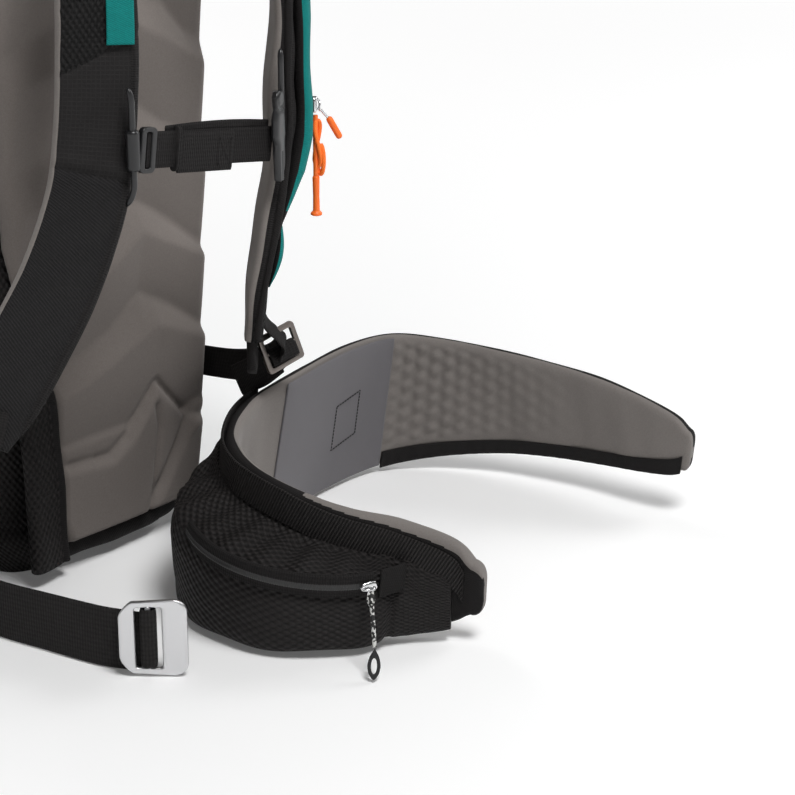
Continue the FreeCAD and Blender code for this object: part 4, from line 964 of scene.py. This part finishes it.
t = np.linspace(0.12, 2 * np.pi - 0.12, 60)[:, None]
tube("sternum_hook_eye", left_end - across_web * 9 + web_face * 6 + UP * (31 + 6.5 * np.cos(t))
     + hook_turn * (5.2 * np.sin(t)), 1.5, plastic, "sternum_strap", 12)


# ----------------------------------------------------------------------------
# Hip webbing on the pack: broad ribbed webbing, looped through a satin alloy plate on the right
# side and through a hook plate on the left
# ----------------------------------------------------------------------------
alloy = grained("buckle_alloy", (0.70, 0.70, 0.71), 0.36, 1.0, 0.00002, 2500)
# Lighter than the other black webbing: painted light, standing in for the stronger light on the low parts
# of the pack.
hip_weave = cloth("hip_webbing", (0.0145, 0.0132, 0.013), "ribs", 0.0022, 0.0004, 0.7, 0.8)
hip_route = through([(x, y, 23) for x, y in ((-104, 64), (-136, 34), (-158, -8), (-164, -52), (-157, -98),
                                             (-149, -140), (-142, -160), (-137, -172))], 260)
right_hip = band("hip_webbing_right", hip_route, UP, 45, -0.8, 0.8, hip_weave, "pack", 21, 10,
                 lambda u, x, f, z: 0.5 * np.sin(u * 0.05) * (x / 22)
                 - 0.25 * bell(np.abs(x), 19, 1.2) * (f > 0))
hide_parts("hip_webbings")
left_route = through([(x, y, 23) for x, y in
                      ((104, 64), (132, 62), (150, 80), (152, 120), (150, 160), (149, 168))], 180)
left_hip = band("hip_webbing_left", left_route, UP, 45, -0.8, 0.8, hip_weave, "pack", 21, 10,
                lambda u, x, f, z: 0.5 * np.sin(u * 0.06) * (x / 22))
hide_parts("hip_webbings")
plate_along = np.array((0.64, -0.77, 0)) / math.hypot(0.64, 0.77)
plate_face = np.cross(plate_along, UP)
plate_middle = np.array((-146, -168, 28.5)) + plate_along * 17.5
shift = np.array((-3.2, 0))
plate_rim = rounded_ring(23.5, 28, 9, 160)
plate_rim[:, 1] *= np.interp(plate_rim[:, 0], (-23.5, -12), (0.74, 1))
buckle = window_plate("buckle_plate_alloy", plate_middle, plate_along, plate_face, plate_rim,
                      rounded_ring(9.2, 22.5, 2.0, 160) + shift, 3.4, 1.1, alloy, "buckle_plate")
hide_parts("buckle_plate")
z = np.linspace(-23.2, 23.2, 20)[:, None]
bar = tube("buckle_bar", plate_middle - plate_along * 3.2 + UP * z, 1.9, alloy, "buckle_plate", 16,
           plate_face)
turn = np.linspace(-0.9 * np.pi, 0.9 * np.pi, 90)[:, None]
wrap = (plate_middle - plate_along * 3.2 - plate_along * (-3.4 * np.cos(turn)) * 1.5
        + plate_face * (3.6 * np.sin(turn)))
buckle_loop = band("buckle_webbing_loop", wrap, UP, 43, -0.8, 0.8, hip_weave, "buckle_plate", 21, 10)
hook_plate = window_plate("buckle_hook_alloy", (150, 182, 26), (0, 1, 0), (1, 0, 0),
                          rounded_ring(20, 24, 7, 120), rounded_ring(3.6, 22, 1.5, 120) - (12, 0), 3.4,
                          1.1, alloy, "buckle_hook")
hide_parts("buckle_hook")


# ----------------------------------------------------------------------------
# Hip belt: shaped foam with a warm grey lining inside and black cloth outside, a smooth patch for
# the lumbar tongue, a ribbed band on the right wing and a black strip on the left one
# ----------------------------------------------------------------------------
BELT = np.array((
    (42, -318, 64, 48, -312, 20), (37, -304, 78, 42, -298, 12), (18, -272, 90, 20, -272, 8),
    (-4, -245, 98, -2, -246, 5), (-17, -214, 105, -16, -215, 3), (-19, -181, 111, -19, -181, 2),
    (-11, -147, 116, -13, -141, 2), (13, -117, 120, 8, -106, 2), (58, -91, 124, 52, -74, 2),
    (120, -80, 127, 116, -57, 2), (188, -70, 128, 187, -46, 2), (238, -75, 127, 246, -50, 4),
    (268, -104, 122, 284, -84, 12), (292, -147, 115, 311, -134, 20), (307, -187, 109, 322, -180, 25),
    (319, -227, 102, 328, -224, 28), (326, -266, 92, 328, -264, 32), (331, -292, 82, 330, -290, 35),
    (334, -303, 72, 333, -300, 38)), float)


def belt_run(first, last, count):
    """Rim, foot and outward face of the belt between two stations, smoothly."""
    whole = through(BELT, 18 * 40 + 1)
    along = np.gradient(whole[:, :3], axis=0)
    face = unit(np.stack([along[:, 1], -along[:, 0], 0 * along[:, 0]], 1))
    outward = (face * (whole[:, :3] - (150, -200, 0))).sum(1)
    face = face * np.where(outward > 0, 1, -1)[:, None]
    place = np.linspace(first * 40, last * 40, count)
    pick = np.column_stack([whole, face])
    pick = np.stack([np.interp(place, np.arange(len(pick)), pick[:, k]) for k in range(9)], 1)
    return pick[:, :3], pick[:, 3:6], unit(pick[:, 6:])


def belt_layer(name, first, last, steps, low, high, materials, top=0.0, tall=None, foot=0.0, **more):
    """A layer of the belt between two stations: top and foot are trims in millimetres, tall a
    height from the rim."""
    rim, base, face = belt_run(first, last, steps)
    fall = unit(base - rim)
    upper = rim + fall * top
    lower = base - fall * foot if tall is None else rim + fall * (top + tall)
    return plank(name, (upper + lower) / 2, (upper - lower) / 2, face, low, high, materials, "belt", **more)


belt_grey = cloth("belt_lining", (0.165, 0.150, 0.140), "plain", 0.0013, 0.00008, 0.15, 0.9, 0.14, 0.1)
rim, base, face = belt_run(0, 18, 500)
belt_length = np.r_[0, np.cumsum(np.linalg.norm(np.diff((rim + base) / 2, axis=0), axis=1))]
station_at = np.linspace(0, 18, 500)


def belt_relief(u, x, f, z):
    """Inside: a honeycomb of shallow dimples by the patch that fades along the wing, and soft
    upright wrinkles. Outside: slight fullness."""
    s = np.interp(u, belt_length, station_at)
    tall = np.interp(u, belt_length, np.linalg.norm(rim - base, axis=1) / 2)
    fade = np.clip((s - 11.1) / 0.4, 0, 1) * np.clip((14.8 - s) / 2.6, 0, 1)
    fade *= np.clip((x + tall - 15) / 7, 0, 1) * np.clip((tall - x - 3) / 6, 0, 1)
    one, two = 2 * np.pi * u / 12.0, 2 * np.pi * x / 12.0
    comb = np.cos(one) + np.cos(0.5 * one + 0.866 * two) + np.cos(0.5 * one - 0.866 * two)
    wrinkle = np.sin(0.21 * u + 0.8 * np.sin(0.06 * x)) * np.clip(1 - np.abs(x) / 70, 0, 1)
    slow = np.sin(0.083 * u + 0.04 * x + 1.0)
    wing = np.clip((s - 11.5) / 1.5, 0, 1) + np.clip((9 - s) / 1.0, 0, 1)
    inner = 0.62 * comb * fade + (0.35 * wrinkle + 0.55 * slow) * wing
    return np.where(f < 0, -inner, 0.35 * slow)


def belt_zone(u, x, f, z):
    """Black outside and in a thin line round the rim; grey laps over the rim at the right wing's
    end."""
    s = np.interp(u - 9, belt_length, station_at)
    tall = np.interp(u - 9, belt_length, np.linalg.norm(rim - base, axis=1) / 2)
    lap = (x > tall - 10 * np.clip(1 - s / 4.2, 0, 1)) & (s < 4) & (f < 0.98) | (u < 7) & (f < 0.6)
    return np.where(lap, 0, f > -0.25)


turn = np.radians(np.linspace(86, 8, 14))[:, None]
belt_mid, belt_half = (rim + base) / 2, (rim - base) / 2
start_way, end_way = unit(belt_mid[0] - belt_mid[4]), unit(belt_mid[-1] - belt_mid[-5])
belt_mid = np.concatenate([belt_mid[:1] + start_way * 9 * np.sin(turn), belt_mid,
                           belt_mid[-1:] + end_way * 5 * np.sin(turn[::-1])])
belt_half = np.concatenate([belt_half[:1] * np.cos(turn) ** 0.5, belt_half,
                            belt_half[-1:] * np.cos(turn[::-1]) ** 0.5])
belt_face = np.concatenate([np.repeat(face[:1], 14, 0), face, np.repeat(face[-1:], 14, 0)])
thick = np.concatenate([np.cos(turn[:, 0]) ** 0.4, np.ones(500), np.cos(turn[::-1, 0]) ** 0.4]) * 6.5
belt_foam = plank("belt_foam", belt_mid, belt_half, belt_face, -thick, thick, [belt_grey, fine_cloth],
                  "belt", 71, 14, belt_relief, belt_zone)
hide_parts("belt_core", "belt_lining", "belt_cover")
patch_grey = cloth("patch_cloth", (0.125, 0.120, 0.128), "plain", 0.0009, 0.00003, 0.06, 0.75, 0.06, 0.1)
thread = grained("dark_thread", (0.01, 0.01, 0.011), 0.7, grain=0.0001)


patch = belt_layer("lumbar_patch_cloth", 8.72, 11.05, 120, -7.9, -6.3, patch_grey, 2.0, None, 2.0,
                   count=41, power=14)
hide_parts("lumbar_patch")


def stitches(name, route, face, pitch, long, wide, proud, material, body):
    """Short thread stitches along a route: each a small box, its ends tapered."""
    route, face = np.asarray(route, float), np.asarray(face, float)
    length = np.r_[0, np.cumsum(np.linalg.norm(np.diff(route, axis=0), axis=1))]
    spots = np.arange(pitch / 2, length[-1], pitch)
    at = np.stack([np.interp(spots, length, route[:, k]) for k in range(3)], 1)
    ahead = np.stack([np.interp(spots + 0.5, length, route[:, k]) for k in range(3)], 1)
    back = np.stack([np.interp(spots - 0.5, length, route[:, k]) for k in range(3)], 1)
    along = unit(ahead - back)
    out = unit(np.broadcast_to(face, at.shape))
    side = np.cross(out, along)
    corner = [(a * long / 2 * (0.8 if h else 1.0), b * wide / 2, h * proud)
              for h in (0, 1) for a, b in ((-1, -1), (1, -1), (1, 1), (-1, 1))]
    points = np.stack([at + along * a + side * b + out * h for a, b, h in corner], 1).reshape(-1, 3)
    box = np.array(((0, 3, 2, 1), (4, 5, 6, 7), (0, 1, 5, 4), (1, 2, 6, 5), (2, 3, 7, 6), (3, 0, 4, 7)))
    faces = (box[None] + 8 * np.arange(len(spots))[:, None, None]).reshape(-1, 4)
    mesh = bpy.data.meshes.new(name)
    mesh.from_pydata((points * MM).tolist(), [], faces.tolist())
    mesh.materials.append(material)
    piece = bpy.data.objects.new(name, mesh)
    scene.collection.objects.link(piece)
    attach(piece, body)
    return piece


def on_belt(station, share, out):
    """A point on the belt: share of the way down from rim to foot, out along the face."""
    rim, base, face = belt_run(station, station + 0.01, 2)
    return rim[0] + (base[0] - rim[0]) * share + face[0] * out, face[0]


corners = [on_belt(s, share, -8.1)[0] for s, share in ((9.88, 0.39), (10.36, 0.34), (10.38, 0.65),
                                                       (9.90, 0.70), (9.88, 0.39))]
inward = -on_belt(10, 0.5, 0)[1]
stitches("patch_stitching",
         np.concatenate([np.linspace(a, b, 12)[:-1] for a, b in zip(corners, corners[1:])]
                        + [corners[-1:]]), inward, 3.0, 2.1, 0.7, 0.5, thread, "belt")
tongue = belt_layer("belt_tongue_hook_tape", 9, 11, 80, 6.3, 8.6, fine_cloth, 20, None, 30, count=31,
                    power=14)
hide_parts("belt_tongue")
# Lighter than the other black webbing: painted light, standing in for the stronger light on the low belt.
wide_ribs = cloth("ribbed_band", (0.019, 0.0172, 0.0168), "twill", 0.0024, 0.0006, 1.0, 0.75)
band_drop = np.interp(np.linspace(0.35, 8.4, 300), (0.35, 1.6, 3.4, 4.4, 8.4),
                      (13, 9, 4, -0.5, -0.5))[:, None]
ribbed = belt_layer("belt_ribbed_band", 0.35, 8.4, 300, 6.0, 8.4, wide_ribs, band_drop, 25, count=25,
                    power=8, relief=lambda u, x, f, z: (f > 0) * 0.5 * bell(np.abs(x), 12, 0.8))
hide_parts("belt_band")
rim, base, face = belt_run(11.08, 17.9, 200)
climb = unit(rim - base)
strip_tall = np.interp(np.linspace(0, 1, 200), (0, 0.3, 0.7, 1), (16, 13, 12, 15))[:, None]
strip = plank("belt_edge_strip_cloth", base + climb * (strip_tall / 2 - 1), climb * strip_tall / 2,
              face, -8.3, -6.0, fine_cloth, "belt", 15, 6, lambda u, x, f, z: 0.25 * np.sin(u * 0.5)
              * (f < 0))
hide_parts("belt_edge_strip")


# ----------------------------------------------------------------------------
# Belt pocket on the right wing: black diamond cloth over a soft bulge, closed by an arc of coil
# zip with a chrome slider, a flecked cord and a rubber loop
# ----------------------------------------------------------------------------
POCKET = ((1, 2, 44), (2, 10, 54), (3, 30, 58), (4, 44, 63), (5, 48, 68), (6, 42, 73), (7, 24, 78),
          (8, 2, 80))
spots = through(POCKET, 200)
rim, base, face = belt_run(1, 8, 200)
drop = unit(base - rim)
seat = (rim + base) / 2 + face * 6.5
top = (rim + drop * 26)[:, 2] - 2
low = base[:, 2] + 1
bulge, zip_z = np.maximum(spots[:, 1], 0.6), spots[:, 2]
profile = []
for out, level in ((-3 + 0 * top, top), (np.minimum(5, bulge * 0.6), top - 1),
                   (bulge * 0.80, (top + zip_z) / 2), (bulge, zip_z), (bulge * 1.02, (zip_z + 24) / 2),
                   (bulge, 24 + 0 * top), (bulge * 0.86, low), (-3 + 0 * top, low)):
    profile.append(np.column_stack([seat[:, 0] + face[:, 0] * out, seat[:, 1] + face[:, 1] * out, level]))
profile = np.array(profile).transpose(1, 0, 2)
loops = np.array([ring(row, 110) for row in profile])
centre = loops.mean(1, keepdims=True)
out = unit(loops - centre)
along = np.linspace(0, 1, 200)[:, None]
height = loops[:, :, 2]
front_side = np.clip(((loops - seat[:, None]) * face[:, None]).sum(2) / 6, 0, 1)
upper = height > zip_z[:, None] + 4
pleats = np.sin(along * 70 + 0.10 * height) * upper * 1.3 + np.sin(along * 31 + 0.05 * height) * 0.8
pleats += -0.8 * bell(height - zip_z[:, None], 12, 0.9) - 0.8 * bell(zip_z[:, None] - height, 12, 0.9)
pleats += -3.2 * bell(along, 0.155 + 0.0006 * (60 - height), 0.016) * (height < 84)
pleats += 1.2 * bell(along, 0.12, 0.02) - 2.8 * bell(height - zip_z[:, None], 0, 8)
ends = np.clip(np.minimum(along, 1 - along) * 12, 0, 1)
loops = loops + out * (pleats * front_side * ends)[..., None]
loops[:, :, 2] = np.maximum(loops[:, :, 2], 0.8)
belt_pocket = surface("belt_pocket_cloth", loops * MM, dobby, "belt")
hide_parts("belt_pocket")

tilt = unit(np.array((0, -0.125, 0.992)))
zip_middle = np.array((17, -192, 66.0))


def on_zip(angle, radius, rise=0.0):
    """Points near the zip's arc, at angles seen from above."""
    angle = np.radians(np.atleast_1d(angle))
    flat = np.stack([np.cos(angle), np.sin(angle), 0 * angle], 1)
    along = unit(flat - tilt * (flat @ tilt)[:, None])
    return zip_middle + along * radius + tilt * rise


angles = np.linspace(-112, -212, 90)
coil_zip("pocket_zip_tape", on_zip(angles, 91), tilt, 17, -2.2, 2.4, "belt", "pocket_zip", -1.0, 2.4)
rest = on_zip(-115, 92)[0]
outward = unit(rest - zip_middle)
slider("pocket_zip_puller", rest + outward * 3.0, np.cross(outward, tilt), outward, "pocket_slider",
       "pocket_slider", pull=0)
t = np.linspace(0.2, 2 * np.pi - 0.2, 40)[:, None]
tangent = np.cross(outward, tilt)
tube("pocket_pull_wire", rest + outward * 7.4 - UP * 6 + UP * 6.2 * np.cos(t) + tangent * 2.2
     * np.sin(t), 0.7, chrome, "pocket_slider", 10)
end_tab = band("pocket_zip_end_tab", on_zip(np.linspace(-96, -109, 30), 93.2), tilt, 22, -1.5, 0.8,
               fine_cloth, "belt", 17, 8, sign=1.0)

fleck, fleck_tree, fleck_shader = shader("flecked_cord", (0.02, 0.02, 0.02), 0.7)
place = fleck_tree.nodes.new("ShaderNodeTexCoord")
cells = fleck_tree.nodes.new("ShaderNodeTexVoronoi")
cells.inputs["Scale"].default_value = 620
ramp = fleck_tree.nodes.new("ShaderNodeValToRGB")
ramp.color_ramp.interpolation = "CONSTANT"
ramp.color_ramp.elements[0].color = (0.012, 0.012, 0.012, 1)
ramp.color_ramp.elements[1].position = 0.62
ramp.color_ramp.elements[1].color = (0.62, 0.62, 0.60, 1)
fleck_tree.links.new(place.outputs["Object"], cells.inputs["Vector"])
fleck_tree.links.new(cells.outputs["Color"], ramp.inputs["Fac"])
fleck_tree.links.new(ramp.outputs["Color"], fleck_shader.inputs["Base Color"])
pull_top = np.array((-25.536, -281.792, 51.685))
pull_low = np.array((-39.5, -297, 21.5))
pull_route = [pull_top, (pull_top + pull_low) / 2, pull_low]
pull_cord = cord_curve("pocket_pull_line", pull_route, 1.5, fleck, "pocket_pull")
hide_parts("pocket_pull_cord")
rubber = grained("pull_rubber", (0.016, 0.016, 0.017), 0.5, grain=0.00008)
loop_low = np.array((-45.5, -301, 4.0))
loop_along = unit(loop_low - pull_low)
loop_across = unit(np.array((0.64, -0.77, 0)) - loop_along * (np.array((0.64, -0.77, 0)) @ loop_along))
t = np.linspace(0, 2 * np.pi, 80, endpoint=False)
shape = np.stack([11.5 - 10.5 * np.cos(t), np.sin(t) * np.interp(11.5 - 10.5 * np.cos(t),
                                                                 (1, 6, 12, 18, 22),
                                                                 (1.5, 3.6, 4.6, 4.4, 3.0))], 1)
inside_shape = np.stack([12.6 - 5.4 * np.cos(t), 2.0 * np.sin(t)], 1)
pull_loop = window_plate("pocket_pull_rubber", pull_low, loop_along, np.cross(loop_along, loop_across),
                         shape, inside_shape, 3.0, 0.8, rubber, "pocket_pull")
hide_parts("pocket_pull_loop")
t = np.linspace(0.2, 2 * np.pi - 0.2, 40)[:, None]
knot_loop = tube("pocket_pull_knot", pull_top + (0, 0, -3.5) + UP * 4.4 * np.cos(t) + tangent * 2.0
                 * np.sin(t), 1.1, fleck, "pocket_pull", 10)
reach = float(np.linalg.norm(pull_low - pull_top)) * MM
